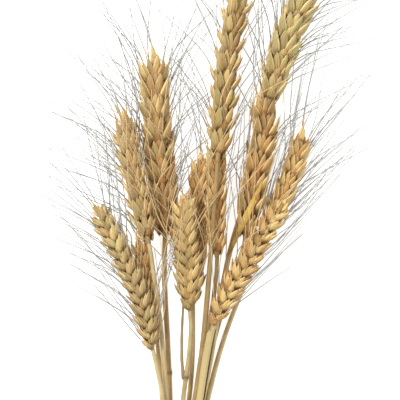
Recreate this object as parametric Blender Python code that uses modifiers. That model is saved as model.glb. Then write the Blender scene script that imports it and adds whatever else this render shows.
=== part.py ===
"""A bunch of dried bearded wheat lying on a flat surface.

Twelve ears on their straws, two dry leaves and the twine that ties the bunch. The ears point
along +Y, +Z is up, and the origin is on the surface under the middle of the bunch.
"""

import math
import random

import bmesh
import bpy
import numpy as np
from mathutils import Matrix, Vector

MM = 0.001
# Lists of places are in millimetres, from a point in the bunch where the straws draw together.
ORIGIN = Vector((0.4, 80.8, 0.0))
GAP = 0.3 * MM
UP = Vector((0, 0, 1))
SPAN_STEPS = 12
LINE_POINTS = 48
TUBE_RESOLUTION = 1
WELD = 0.01 * MM
SHARP_EDGE = math.radians(35)

# An ear: its rachis joints and the two scales of each joint's spikelet. The scales' sizes are
# those at the ear's middle, and they lean out along the row and across it.
JOINT = 5.3 * MM
CORE_RADIUS = 2.8 * MM
CORE_STOPS = (0.0, 0.12, 0.3, 0.5, 0.7, 0.8, 0.9, 0.98)
CORE_TIP_SHARE = 0.7
SCALE_LENGTH = 12.5 * MM
SCALE_WIDTH = 8.4 * MM
SCALE_DEPTH = 6.0 * MM
SCALE_FACING = 1.5
ROOT_OFFSET = 1.0 * MM
ROW_LEAN = math.radians(22)
FAN_LEAN = math.radians(24)
FIRST_JOINT = 0.35
JOINT_ROOM = 0.6

# The last spikelet stands across the others.
TIP_SINK = 7.0 * MM
TIP_SPACING = 0.8 * MM
TIP_LEAN = 0.32
TIP_SIZE = 0.9

# How full an ear is: slim at its base, full along its middle, narrower at the tip.
BASE_SPAN = 0.22
BASE_FULLNESS = 0.5
TIP_SPAN = 0.3
TIP_FULLNESS = 0.72
EAR_RADIUS = 8.6 * MM

AWNS_PER_EAR = 16
AWN_SIDES = 3
AWN_LENGTH = 56.0 * MM
AWN_SHORTEST = 0.86
AWN_SPREAD = 0.2
AWN_RADIUS = 0.3 * MM
AWN_SINK = 2.0 * MM
AWN_CLEAR = 0.7 * MM
AWN_FLOOR = 0.8 * MM
AWN_BASE_LEAN = math.radians(34)
AWN_TIP_LEAN = math.radians(12)
AWN_TRIES = 60

NECK_RADIUS = 1.25 * MM
STRAW_RADIUS = 1.6 * MM
NECK_LENGTH = 90.0 * MM
KNOT_SWELL = 1.3
KNOT_HALF_HEIGHT = 2.0 * MM
STATION = 17.0 * MM
SHORTEST_STATION = 0.4 * STATION
STRAW_SPACING = 2 * STRAW_RADIUS + GAP
STRAW_CLEAR = 0.5 * MM
SETTLE_ROUNDS = 120
SETTLED = 0.01 * MM

# The tie: where the straws are drawn together, and how they are packed in its ring.
TIE_X = -12.5 * MM
TIE_Y = -59.0 * MM
TWINE_RADIUS = 1.0 * MM
TWINE_TURNS = 4
TWINE_STEPS = 10
TWINE_PITCH = 2 * TWINE_RADIUS + GAP
LOWEST_STRAW = 2 * TWINE_RADIUS + GAP + STRAW_RADIUS
KNOT_SIZE = (3.2 * MM, 6.0 * MM, 1.9 * MM)
KNOT_RISE = 1.0 * MM
TWINE_END = ((0, 0, 1.6), (4, 2.5, 2.0), (8, 6, 1.4), (11, 11, 0.9))
TWINE_END_RADIUS = 0.9 * MM

# Below the tie the straws spread and drop a little, to their cut ends.
CUT_END_Y = -150.0 * MM
SPLAY = 1.7
DROP = 0.35

# Each ear: its middle line from base to tip, the turn of its rows of spikelets from flat in
# degrees, its width beside the usual ear, and its colour. Its straw: the points from the ear down
# to the tie, its row and place in the tie, its cut end and the heights of its knots.
EARS = {
    "left_front": dict(
        line=[(-28.2, 30.6, 20.5), (-32.4, 51, 21.5), (-37.2, 66, 21.5), (-43.8, 81, 20.5),
              (-51, 96, 18.5), (-62.4, 116.4, 15)],
        roll=18, width=0.98, tone="olive",
        straw=[(-24.5, 14, 16), (-21.6, 0, 13.5)], slot=(2, 0), cut=-3, knots=[-96]),
    "left_back": dict(
        line=[(-25.8, 34.8, 6.4), (-28, 48, 6.6), (-31.5, 66, 6.6), (-34.5, 84, 6.6),
              (-37.8, 98.4, 6.4)],
        roll=90, width=0.9, tone="rust",
        straw=[(-24.2, 18, 4.6), (-22.8, 0, 4.6)], slot=(1, 0), cut=6, knots=[-110]),
    "left": dict(
        line=[(-30.6, 94.2, 18.5), (-36, 120, 18), (-40.2, 138, 17), (-46.8, 172.2, 13)],
        roll=75, width=1.0, tone="olive",
        straw=[(-28, 80, 18), (-26, 60, 17), (-23.8, 45, 16), (-22.5, 30, 13.5), (-21, 12, 10.5)],
        slot=(1, 1), cut=-6, knots=[-88]),
    "left_tall": dict(
        line=[(-21, 97.2, 6), (-22, 120, 6), (-24, 144, 6), (-26.4, 174, 6),
              (-28.2, 211.2, 6)],
        roll=90, width=1.04, tone="olive",
        straw=[(-21.6, 80, 3.2), (-21.6, 60, 2.2), (-19.8, 30, 2.2), (-18, 6, 2.8)],
        slot=(0, 0), cut=3, knots=[16, -104]),
    "centre_front": dict(
        line=[(-6, 54, 20), (-6.6, 75, 20.8), (-7.8, 92, 20.5), (-8.7, 107, 19.5),
              (-9.6, 121.8, 18)],
        roll=8, width=1.0, tone="gold",
        straw=[(-4.6, 38, 16), (-5.6, 27, 13.5), (-9.4, 13.8, 12), (-10.2, 0, 11.5)],
        slot=(2, 1), cut=8, knots=[13.8, -90]),
    "centre_back": dict(
        line=[(-4.2, 69, 5.8), (-1.8, 90, 6.2), (-0.8, 120, 6.2), (0.6, 147.6, 6.2)],
        roll=90, width=0.88, tone="rust",
        straw=[(-4.4, 54, 3), (-4.2, 30, 2.4), (-6.4, 0, 3)], slot=(0, 1), cut=-2, knots=[-100]),
    "centre": dict(
        line=[(10.2, 85.8, 15.4), (9.7, 100, 17.2), (9.2, 114, 17.8), (9.3, 130, 17.4),
              (9.8, 146, 16)],
        roll=80, width=0.98, tone="rust",
        straw=[(10.2, 76, 11.5), (9.3, 64, 8), (7.4, 48, 6.2), (4, 28, 6.3)],
        slot=(1, 2), cut=4, knots=[-112]),
    "centre_tall": dict(
        line=[(10.4, 143, 28), (13.2, 174, 22.5), (17.4, 210, 14), (25.8, 253.2, 8)],
        roll=72, width=1.0, tone="gold",
        straw=[(9.4, 128, 28.2), (8.4, 114, 27.5), (6.6, 90, 26), (5.2, 72, 21.5), (3.9, 54, 16),
               (1.4, 30, 11), (-3, 0, 9.6)],
        slot=(2, 2), cut=-8, knots=[-84]),
    "right_tall": dict(
        line=[(40.8, 176.4, 5.2), (50.4, 211.2, 7), (61.8, 240, 7.5), (75, 268.8, 7.5)],
        roll=84, width=1.06, tone="olive",
        straw=[(39.5, 165, 3.4), (37, 150, 2.4), (33.5, 136, 2.4), (28.5, 121, 2.6),
               (22.8, 107, 3.6), (19.6, 96, 6), (16.8, 84, 8.6), (12.6, 66, 8.6), (9, 50, 7),
               (5.8, 30, 6)],
        slot=(1, 3), cut=5, knots=[-94]),
    "right_mid": dict(
        line=[(27, 96, 8), (30, 114, 11.5), (34.2, 138, 12.6), (37.8, 156, 12.8),
              (38.4, 165, 12.8), (35.4, 182.4, 12.6)],
        roll=86, width=0.98, tone="rust",
        straw=[(24.4, 86, 4.8), (20.4, 74, 2.8), (14.5, 58, 2.4), (7, 30, 2.6), (1.5, 6, 3)],
        slot=(0, 2), cut=-5, knots=[-106]),
    "right": dict(
        line=[(37.2, 96, 5.4), (46.8, 117, 5.6), (55.8, 138, 5.6), (62.4, 163.2, 5.2)],
        roll=90, width=0.8, tone="rust",
        straw=[(31, 80, 3), (24, 61.5, 2.2), (19.2, 51, 2.2), (15.6, 42, 2.2), (11.4, 27, 2.4),
               (7.2, 12, 2.8), (4.6, 0, 3)],
        slot=(0, 3), cut=2, knots=[-98]),
    "right_front": dict(
        line=[(7.9, 45, 15.5), (14.4, 60, 18), (22.2, 72.6, 19.5), (30, 85.8, 20.5),
              (37.2, 98.4, 21), (54, 123, 19.5)],
        roll=-12, width=0.82, tone="gold",
        straw=[(4.8, 30, 13.4), (1.8, 12, 12.2), (0, 0, 11.8)],
        slot=(2, 3), cut=-4, knots=[-92]),
}

TONES = {
    "olive": (0.50, 0.40, 0.20),
    "gold": (0.66, 0.49, 0.24),
    "rust": (0.52, 0.34, 0.16),
    "straw": (0.62, 0.50, 0.27),
    "leaf": (0.75, 0.58, 0.24),
    "twine": (0.45, 0.33, 0.19),
}
ROUGHNESS = 0.6

# The flat leaf grows from a height of the tall right straw and lies over the middle right ear. The
# rolled one stands up from beside a knot of the middle front straw.
FLAT_LEAF_SEAT = 89
FLAT_LEAF = [(21.6, 97, 11.2), (23.8, 102.5, 15.2), (26.5, 108, 18.7), (30, 115, 20.6),
             (33.5, 122.5, 21), (37.2, 131, 20.8)]
FLAT_LEAF_STEPS = 10
FLAT_LEAF_HALF_WIDTH = 1.8 * MM
FLAT_LEAF_ARCH = 0.35 * MM
FLAT_LEAF_BASE_SHARE = 0.45
FLAT_LEAF_BASE_SPAN = 0.45
FLAT_LEAF_TIP_SPAN = 0.3
FLAT_LEAF_BLUNT = 0.04
LEAF_THICKNESS = 0.6 * MM
ROLLED_LEAF_SEAT = 18
ROLLED_LEAF = [(-12.0, 28, 12.4), (-11.7, 40, 11), (-11, 56, 9), (-10, 68, 8.6)]
ROLLED_LEAF_POINTS = 8
ROLLED_LEAF_RADIUS = 0.9 * MM
ROLLED_LEAF_TIP_SHARE = 0.5


def place(point):
    return (Vector(point) - ORIGIN) * MM


def material(tone):
    name = f"dry_{tone}"
    found = bpy.data.materials.get(name)
    if found:
        return found
    made = bpy.data.materials.new(name)
    made.use_nodes = True
    shader = made.node_tree.nodes["Principled BSDF"]
    shader.inputs["Base Color"].default_value = (*TONES[tone], 1)
    shader.inputs["Roughness"].default_value = ROUGHNESS
    shader.inputs["Metallic"].default_value = 0.0
    return made


def smooth_line(points, count):
    """Points evenly spaced along a smooth curve through the given ones."""
    through = [Vector(p) for p in points]
    ends = [2 * through[0] - through[1], *through, 2 * through[-1] - through[-2]]
    fine = []
    for before, start, end, after in zip(ends, ends[1:], ends[2:], ends[3:]):
        for step in range(SPAN_STEPS):
            u = step / SPAN_STEPS
            fine.append(0.5 * (2 * start + (end - before) * u
                               + (2 * before - 5 * start + 4 * end - after) * u * u
                               + (3 * start - before - 3 * end + after) * u ** 3))
    fine.append(through[-1])
    lengths = [0.0]
    for a, b in zip(fine, fine[1:]):
        lengths.append(lengths[-1] + (b - a).length)
    columns = [np.interp(np.linspace(0, lengths[-1], count), lengths, [p[axis] for p in fine])
               for axis in range(3)]
    return [Vector(p) for p in zip(*columns)]


def line_length(points):
    return sum((b - a).length for a, b in zip(points, points[1:]))


def rounded(share):
    """A quarter of a round edge: 0 at 0, rising to 1 and staying there."""
    share = min(share, 1.0)
    return share * (2 - share)


class EarFrame:
    """An ear's middle line, with the row and fan directions along it."""

    def __init__(self, ear):
        self.points = smooth_line([place(p) for p in ear["line"]], LINE_POINTS)
        self.length = line_length(self.points)
        self.roll = math.radians(ear["roll"])
        self.width = ear["width"]

    def at(self, u):
        """The middle at u, and the directions along the ear, of its rows and of their fans."""
        index = min(max(u, 0.0), 1.0) * (len(self.points) - 1)
        low = min(int(index), len(self.points) - 2)
        along = (self.points[low + 1] - self.points[low]).normalized()
        middle = self.points[low].lerp(self.points[low + 1], index - low)
        flat = along.cross(UP).normalized()
        row = math.cos(self.roll) * flat + math.sin(self.roll) * flat.cross(along)
        return middle, along, row, along.cross(row)

    def size(self, u):
        base = BASE_FULLNESS + (1 - BASE_FULLNESS) * rounded(u / BASE_SPAN)
        tip = TIP_FULLNESS + (1 - TIP_FULLNESS) * rounded((1 - u) / TIP_SPAN)
        return self.width * base * tip


def turned(direction, outward, middle):
    """A matrix that points local +Z along direction and local +X as nearly outward as it can."""
    z = direction.normalized()
    x = (outward - outward.dot(z) * z).normalized()
    y = z.cross(x)
    return Matrix(((x.x, y.x, z.x, middle.x), (x.y, y.y, z.y, middle.y),
                   (x.z, y.z, z.z, middle.z), (0, 0, 0, 1)))


def add_object(name, mesh, collection):
    made = bpy.data.objects.new(name, mesh)
    collection.objects.link(made)
    return made


def add_shape(name, shape, collection):
    """An object from a bmesh, which is then freed."""
    mesh = bpy.data.meshes.new(name)
    shape.to_mesh(mesh)
    shape.free()
    return add_object(name, mesh, collection)


def add_scale(root, direction, outward, size, collection):
    """One keeled scale, pointed at both ends, with its keel outward. Returns its tip."""
    axis = direction.normalized() * SCALE_LENGTH * size
    shape = bmesh.new()
    bmesh.ops.create_uvsphere(shape, u_segments=3, v_segments=2, radius=1)
    # A triangle round a circle of radius 1 is 1.5 deep and the root of 3 wide.
    bmesh.ops.scale(shape, verts=shape.verts, vec=(SCALE_DEPTH * size / 1.5,
                                                   SCALE_WIDTH * size / math.sqrt(3),
                                                   SCALE_LENGTH * size / 2))
    shape.transform(turned(direction, outward, root + axis / 2))
    add_shape("scale", shape, collection)
    return root + axis


def add_awn(start, end, collection):
    """One bristle, a three-sided needle."""
    shape = bmesh.new()
    bmesh.ops.create_cone(shape, cap_ends=True, segments=AWN_SIDES, radius1=AWN_RADIUS, radius2=0,
                          depth=(end - start).length)
    shape.transform(turned(end - start, UP, (start + end) / 2))
    add_shape("awn", shape, collection)


def tube(name, points, radii, collection):
    """A closed round rod through the points, as a mesh object."""
    data = bpy.data.curves.new(name, "CURVE")
    data.dimensions = "3D"
    data.bevel_depth = 1.0
    data.bevel_resolution = TUBE_RESOLUTION
    data.use_fill_caps = True
    line = data.splines.new("POLY")
    line.points.add(len(points) - 1)
    for spot, point, radius in zip(line.points, points, radii):
        spot.co = (*point, 1)
        spot.radius = radius
    curve = add_object(name, data, collection)
    graph = bpy.context.evaluated_depsgraph_get()
    mesh = bpy.data.meshes.new_from_object(curve.evaluated_get(graph))
    bpy.data.objects.remove(curve)
    welded = bmesh.new()
    welded.from_mesh(mesh)
    bmesh.ops.remove_doubles(welded, verts=welded.verts, dist=WELD)
    bmesh.ops.recalc_face_normals(welded, faces=welded.faces)
    if welded.calc_volume(signed=True) < 0:
        bmesh.ops.reverse_faces(welded, faces=welded.faces)
    return add_shape(name, welded, collection)


def apply_boolean(target, operation, operand):
    """Applies a Boolean with an object, or with a collection whose objects are then removed."""
    step = target.modifiers.new(operation.lower(), "BOOLEAN")
    step.operation = operation
    step.solver = "EXACT"
    if isinstance(operand, bpy.types.Collection):
        step.operand_type = "COLLECTION"
        step.collection = operand
        used = list(operand.objects)
    else:
        step.object = operand
        used = []
    graph = bpy.context.evaluated_depsgraph_get()
    mesh = bpy.data.meshes.new_from_object(target.evaluated_get(graph))
    target.modifiers.remove(step)
    target.data = mesh
    for piece in used:
        bpy.data.objects.remove(piece)


def finish_mesh(piece, tone):
    piece.data.materials.clear()
    piece.data.materials.append(material(tone))
    piece.data.shade_smooth()
    piece.data.set_sharp_from_angle(angle=SHARP_EDGE)


def add_spikelet(frame, index, count, collection):
    """The two scales of one spikelet. Returns their tips, with what faces out and the height."""
    u = (index + FIRST_JOINT) / (count + JOINT_ROOM)
    middle, along, row, fan = frame.at(u)
    size = frame.size(u)
    side = 1 if index % 2 else -1
    tips = []
    for part in (-1, 1):
        out = side * row * math.tan(ROW_LEAN) + part * fan * math.tan(FAN_LEAN)
        root = middle + (side * row + part * fan) * ROOT_OFFSET * size
        facing = side * row * SCALE_FACING + part * fan
        tips.append((add_scale(root, along + out, facing, size, collection), facing, u))
    return tips


def add_tip_spikelet(frame, collection):
    """The last spikelet, which stands across the others at the ear's tip."""
    middle, along, row, fan = frame.at(1.0)
    size = frame.size(1.0) * TIP_SIZE
    tips = []
    for part in (-1, 0, 1):
        root = middle - along * TIP_SINK + part * row * TIP_SPACING
        tip = add_scale(root, along + part * TIP_LEAN * row, part * row + 0.2 * fan, size,
                        collection)
        turn = -1 if part > 0 else 1
        tips.append((tip, part * row + 0.6 * turn * fan, 1.0))
    return tips


def segment_gap(start, end, firsts, seconds):
    """The least distance from one segment to each of many."""
    d1 = end - start
    d2 = seconds - firsts
    r = start - firsts
    a = d1 @ d1
    e = np.einsum("ij,ij->i", d2, d2)
    f = np.einsum("ij,ij->i", d2, r)
    c = r @ d1
    b = d2 @ d1
    spread = a * e - b * b
    s = np.clip(np.where(spread > 1e-18, (b * f - c * e) / np.maximum(spread, 1e-18), 0), 0, 1)
    t = np.clip((b * s + f) / e, 0, 1)
    s = np.clip((b * t - c) / a, 0, 1)
    apart = start + s[:, None] * d1 - firsts - t[:, None] * d2
    return np.linalg.norm(apart, axis=1)


class Obstacles:
    """Round rods that a new awn keeps clear of: ears, straws, leaves and the awns before it."""

    def __init__(self):
        self.firsts = []
        self.seconds = []
        self.radii = []
        self.owners = []

    def add(self, owner, points, radii):
        for a, b, radius in zip(points, points[1:], radii):
            self.firsts.append(tuple(a))
            self.seconds.append(tuple(b))
            self.radii.append(radius)
            self.owners.append(owner)

    def clear(self, owner, start, end):
        others = np.array([name != owner for name in self.owners])
        gaps = segment_gap(np.array(start), np.array(end), np.array(self.firsts)[others],
                           np.array(self.seconds)[others])
        return bool(np.all(gaps > np.array(self.radii)[others]))


def plan_awn(name, tip, facing, u, frame, obstacles, draw):
    """Where one awn runs: out from its scale, tried ever more freely until it is clear."""
    along = frame.at(u)[1]
    outward = (facing - facing.dot(along) * along).normalized()
    start = tip - (along + outward * 0.4).normalized() * AWN_SINK
    lean = AWN_BASE_LEAN + (AWN_TIP_LEAN - AWN_BASE_LEAN) * u ** 3
    length = AWN_LENGTH * (AWN_SHORTEST + AWN_SPREAD * draw.random())
    for attempt in range(AWN_TRIES):
        wild = attempt / AWN_TRIES
        swing = draw.uniform(-1, 1) * (0.35 + 2.2 * wild)
        tilt = lean * draw.uniform(0.8, 1.15 + 0.4 * wild)
        around = Matrix.Rotation(swing, 3, along) @ outward
        direction = math.cos(tilt) * along + math.sin(tilt) * around
        end = start + direction * length * (1 - 0.35 * wild * draw.random())
        if end.z > AWN_FLOOR and obstacles.clear(name, start, end):
            return start, end
    return None


def make_straws(collection):
    """Every straw from its ear through the tie to its cut end, bent clear of the others."""
    routes = {name: straw_route(ear) for name, ear in EARS.items()}
    settle(routes)
    for name, route in routes.items():
        points, radii = straw_points(EARS[name], route)
        straw = tube(f"straw_{name}", points, radii, collection)
        finish_mesh(straw, "straw")
    return routes


def tie_middle():
    return TIE_X - ORIGIN.x * MM, TIE_Y - ORIGIN.y * MM


def slot_place(row, column):
    """A straw's place in the ring of the tie: rows nest in the hollows of the row below."""
    across = (column - 1.5 - (0.5 if row == 1 else 0.0)) * STRAW_SPACING
    return tie_middle()[0] + across, LOWEST_STRAW + row * STRAW_SPACING * math.sqrt(0.75)


def straw_route(ear):
    """The straw's stations from its top down: Y, X and Z, and whether the point is held."""
    top = [place(p) for p in ear["line"][:2]]
    neck = top[0] - (top[1] - top[0]).normalized() * GAP
    slot_x, slot_z = slot_place(*ear["slot"])
    tie_y = tie_middle()[1]
    tie_top = tie_y + STATION / 2
    through = [neck] + [place(p) for p in ear["straw"]] + [Vector((slot_x, tie_top, slot_z))]
    curve = smooth_line(through, LINE_POINTS)[::-1]
    ys = [p.y for p in curve]
    stations = [[neck.y, neck.x, neck.z, True]]
    steps = math.floor((neck.y - tie_top - SHORTEST_STATION) / STATION)
    for step in range(steps, 0, -1):
        y = tie_top + step * STATION
        stations.append([y, float(np.interp(y, ys, [p.x for p in curve])),
                         float(np.interp(y, ys, [p.z for p in curve])), False])
    stations.append([tie_top, slot_x, slot_z, True])
    stations.append([tie_y - STATION / 2, slot_x, slot_z, True])
    end_y = CUT_END_Y - ORIGIN.y * MM + ear["cut"] * MM
    y = tie_y - 1.5 * STATION
    while y > end_y + SHORTEST_STATION:
        stations.append(splayed(y, end_y, slot_x, slot_z))
        y -= STATION
    stations.append(splayed(end_y, end_y, slot_x, slot_z))
    return stations


def splayed(y, end_y, slot_x, slot_z):
    """A station below the tie, where the straws spread and drop a little."""
    tie_x, tie_y = tie_middle()
    far = (tie_y - y) / (tie_y - end_y)
    x = tie_x + (slot_x - tie_x) * (1 + (SPLAY - 1) * far)
    z = slot_z + (LOWEST_STRAW - 2 * TWINE_RADIUS - slot_z) * DROP * far
    return [y, x, z, False]


def settle(routes):
    """Pushes the straws apart, across their length, until none is too near another or an ear."""
    frames = {name: EarFrame(ear) for name, ear in EARS.items()}
    names = list(routes)
    lowest = min(route[-1][0] for route in routes.values())
    highest = max(route[0][0] for route in routes.values())
    heights = np.arange(lowest, highest, STATION / 4)
    for _ in range(SETTLE_ROUNDS):
        moved = 0.0
        for i, first in enumerate(names):
            for second in names[i + 1:]:
                moved += part_straws(routes[first], routes[second], heights)
            for other in names:
                if other != first:
                    moved += clear_ear(routes[first], frames[other], heights)
            for spot in routes[first]:
                if not spot[3]:
                    spot[2] = max(spot[2], STRAW_RADIUS + GAP)
        if moved < SETTLED:
            break


def station_at(route, y):
    """The two stations round y and how far y lies between them, or None off the straw's ends."""
    if y > route[0][0] or y < route[-1][0]:
        return None
    for upper, lower in zip(route, route[1:]):
        if lower[0] <= y <= upper[0]:
            return upper, lower, (upper[0] - y) / (upper[0] - lower[0])
    return None


def shift(found, dx, dz):
    """Moves the free ones of two stations, each by its share."""
    upper, lower, far = found
    for spot, weight in ((upper, 1 - far), (lower, far)):
        if not spot[3]:
            spot[1] += dx * weight
            spot[2] += dz * weight


def between(found):
    upper, lower, far = found
    return upper[1] + (lower[1] - upper[1]) * far, upper[2] + (lower[2] - upper[2]) * far


def part_straws(first, second, heights):
    """Pushes two straws apart wherever they are too near. Returns how far they moved in all."""
    need = 2 * STRAW_RADIUS + STRAW_CLEAR
    total = 0.0
    for y in heights:
        one, two = station_at(first, y), station_at(second, y)
        if one is None or two is None or all(s[3] for s in (*one[:2], *two[:2])):
            continue
        (x1, z1), (x2, z2) = between(one), between(two)
        apart = max(math.hypot(x1 - x2, z1 - z2), WELD)
        if apart < need:
            push = 0.5 * (need - apart)
            dx, dz = (x1 - x2) / apart * push, (z1 - z2) / apart * push
            shift(one, dx, dz)
            shift(two, -dx, -dz)
            total += push
    return total


def clear_ear(route, frame, heights):
    """Pushes a straw away from an ear that isn't its own. Returns how far it moved in all."""
    total = 0.0
    low = frame.points[0].y - 2 * MM
    high = frame.points[-1].y + 4 * MM
    for y in heights:
        found = station_at(route, y)
        if found is None or not low <= y <= high:
            continue
        x, z = between(found)
        here = Vector((x, y, z))
        nearest = min(range(len(frame.points)), key=lambda k: (frame.points[k] - here).length)
        away = here - frame.points[nearest]
        need = EAR_RADIUS * frame.size(nearest / (len(frame.points) - 1)) + STRAW_RADIUS
        if away.length < need:
            push = 0.5 * (need - away.length)
            flat = Vector((away.x, 0, away.z)).normalized()
            shift(found, flat.x * push, flat.z * push)
            total += push
    return total


def straw_at(route, height):
    """The straw's middle at a height given in the lists' millimetres."""
    y = place((0, height, 0)).y
    x, z = between(station_at(route, y))
    return Vector((x, y, z))


def straw_points(ear, route):
    """The rod's points and radii, slimmer at the neck, with a swelling at each knot."""
    knots = [straw_at(route, height) for height in ear["knots"]]
    spots = []
    for y, x, z, _ in route:
        if all(abs(y - knot.y) > 2 * KNOT_HALF_HEIGHT for knot in knots):
            spots.append((Vector((x, y, z)), 1.0))
    for height in ear["knots"]:
        for step, swell in ((1, 1.0), (0, KNOT_SWELL), (-1, 1.0)):
            spots.append((straw_at(route, height + step * KNOT_HALF_HEIGHT / MM), swell))
    spots.sort(key=lambda spot: -spot[0].y)
    neck = spots[0][0].y
    widen = STRAW_RADIUS - NECK_RADIUS
    radii = [(NECK_RADIUS + widen * min(1.0, (neck - point.y) / NECK_LENGTH)) * swell
             for point, swell in spots]
    return [point for point, _ in spots], radii


def find_obstacles(frames, routes):
    obstacles = Obstacles()
    for name, frame in frames.items():
        stops = [k / 10 for k in range(11)]
        obstacles.add(f"ear_{name}", [frame.at(u)[0] for u in stops],
                      [EAR_RADIUS * frame.size(u) for u in stops])
        line = [Vector((x, y, z)) for y, x, z, _ in routes[name]]
        obstacles.add(f"straw_{name}", line, [STRAW_RADIUS + AWN_CLEAR] * len(line))
    for line in (flat_leaf_line(routes), rolled_leaf_line(routes)):
        obstacles.add("leaf", line, [FLAT_LEAF_HALF_WIDTH + AWN_CLEAR] * len(line))
    return obstacles


def make_ears(routes, collection, floor):
    """Every ear: its scales and awns fused on a slim core, flat where it meets the surface."""
    frames = {name: EarFrame(ear) for name, ear in EARS.items()}
    obstacles = find_obstacles(frames, routes)
    repeats = bpy.data.collections.new("repeats")
    bpy.context.scene.collection.children.link(repeats)
    draw = random.Random(7)
    for name, frame in frames.items():
        tips = add_scales(frame, repeats)
        add_awns(name, frame, tips, obstacles, repeats, draw)
        ear = make_core(name, frame, collection)
        apply_boolean(ear, "UNION", repeats)
        if min(v.co.z for v in ear.data.vertices) < 0:
            apply_boolean(ear, "DIFFERENCE", floor)
        finish_mesh(ear, EARS[name]["tone"])
    bpy.data.collections.remove(repeats)


def add_scales(frame, repeats):
    """All the scales of an ear. Returns the tips that bear awns, taken evenly from all sides."""
    count = round(frame.length / JOINT)
    tips = [add_spikelet(frame, index, count, repeats) for index in range(count)]
    last = add_tip_spikelet(frame, repeats)
    bearers = [last[0], last[2]]
    spare = AWNS_PER_EAR - len(bearers)
    for turn in range(spare):
        index = int((turn + 0.5) * count / spare)
        bearers.append(tips[index][(turn + turn // 2) % 2])
    return bearers


def add_awns(name, frame, tips, obstacles, repeats, draw):
    for tip, facing, u in tips:
        found = plan_awn(f"ear_{name}", tip, facing, u, frame, obstacles, draw)
        if found:
            add_awn(*found, repeats)
            obstacles.add("awn", found, [2 * AWN_RADIUS + AWN_CLEAR])


def make_core(name, frame, collection):
    """The ear's slim middle, which starts a gap above the straw and carries the scales."""
    spots = [frame.at(u)[0] for u in CORE_STOPS]
    spots[0] = spots[0] + frame.at(0)[1] * GAP
    full = CORE_RADIUS * frame.width
    slim = CORE_RADIUS * CORE_TIP_SHARE
    return tube(f"ear_{name}", spots, [NECK_RADIUS] + [full] * 5 + [slim] * 2, collection)


def make_floor_cutter():
    """What lies under the surface, which the lowest scales are pressed flat against."""
    cutters = bpy.data.collections.new("cutters")
    bpy.context.scene.collection.children.link(cutters)
    bpy.ops.mesh.primitive_cube_add(size=1, location=(0, 0, -0.01))
    cutter = bpy.context.object
    cutter.name = "floor_cutter"
    cutter.scale = (0.6, 0.8, 0.02)
    cutter.hide_render = True
    cutter.display_type = "WIRE"
    cutter.users_collection[0].objects.unlink(cutter)
    cutters.objects.link(cutter)
    return cutter


def flat_leaf_line(routes):
    """The middle of the blade, from on top of the tall right straw."""
    above = Vector((0, 0, STRAW_RADIUS + GAP + FLAT_LEAF_ARCH + LEAF_THICKNESS))
    seat = straw_at(routes["right_tall"], FLAT_LEAF_SEAT) + above
    return smooth_line([seat] + [place(p) for p in FLAT_LEAF], FLAT_LEAF_STEPS + 1)


def rolled_leaf_line(routes):
    """The middle of the roll, from beside a knot of the middle front straw."""
    beside = Vector((-(STRAW_RADIUS + GAP + ROLLED_LEAF_RADIUS), 0, 0))
    seat = straw_at(routes["centre_front"], ROLLED_LEAF_SEAT) + beside
    return smooth_line([seat] + [place(p) for p in ROLLED_LEAF], ROLLED_LEAF_POINTS)


def make_flat_leaf(routes, collection):
    """A narrow dry blade, arched across its width."""
    line = flat_leaf_line(routes)
    last = len(line) - 1
    arch = Vector((0, 0, -FLAT_LEAF_ARCH))
    shape = bmesh.new()
    rows = []
    for k, middle in enumerate(line):
        u = k / last
        along = (line[min(k + 1, last)] - line[max(k - 1, 0)]).normalized()
        base = FLAT_LEAF_BASE_SHARE + (1 - FLAT_LEAF_BASE_SHARE) * min(u / FLAT_LEAF_BASE_SPAN, 1)
        tip = min((1 + FLAT_LEAF_BLUNT - u) / FLAT_LEAF_TIP_SPAN, 1)
        side = along.cross(UP).normalized() * FLAT_LEAF_HALF_WIDTH * base * tip
        rows.append([shape.verts.new(middle - side + arch), shape.verts.new(middle),
                     shape.verts.new(middle + side + arch)])
    for low, high in zip(rows, rows[1:]):
        for a in (0, 1):
            shape.faces.new((low[a], high[a], high[a + 1], low[a + 1]))
    bmesh.ops.triangulate(shape, faces=shape.faces)
    bmesh.ops.recalc_face_normals(shape, faces=shape.faces)
    leaf = add_shape("leaf_flat", shape, collection)
    solid = leaf.modifiers.new("thickness", "SOLIDIFY")
    solid.thickness = LEAF_THICKNESS
    solid.offset = 0
    finish_mesh(leaf, "leaf")


def make_rolled_leaf(routes, collection):
    """A leaf dried into a thin roll, tapering to its tip."""
    line = rolled_leaf_line(routes)
    taper = (1 - ROLLED_LEAF_TIP_SHARE) / (len(line) - 1)
    radii = [ROLLED_LEAF_RADIUS * (1 - taper * k) for k in range(len(line))]
    leaf = tube("leaf_rolled", line, radii, collection)
    finish_mesh(leaf, "straw")


def ring_point(angle, slots, spare):
    """A point of the tight loop round the packed straws, in the X and Z plane."""
    ux, uz = math.cos(angle), math.sin(angle)
    x, z = max(slots, key=lambda s: s[0] * ux + s[1] * uz)
    return x + ux * spare, z + uz * spare


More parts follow.
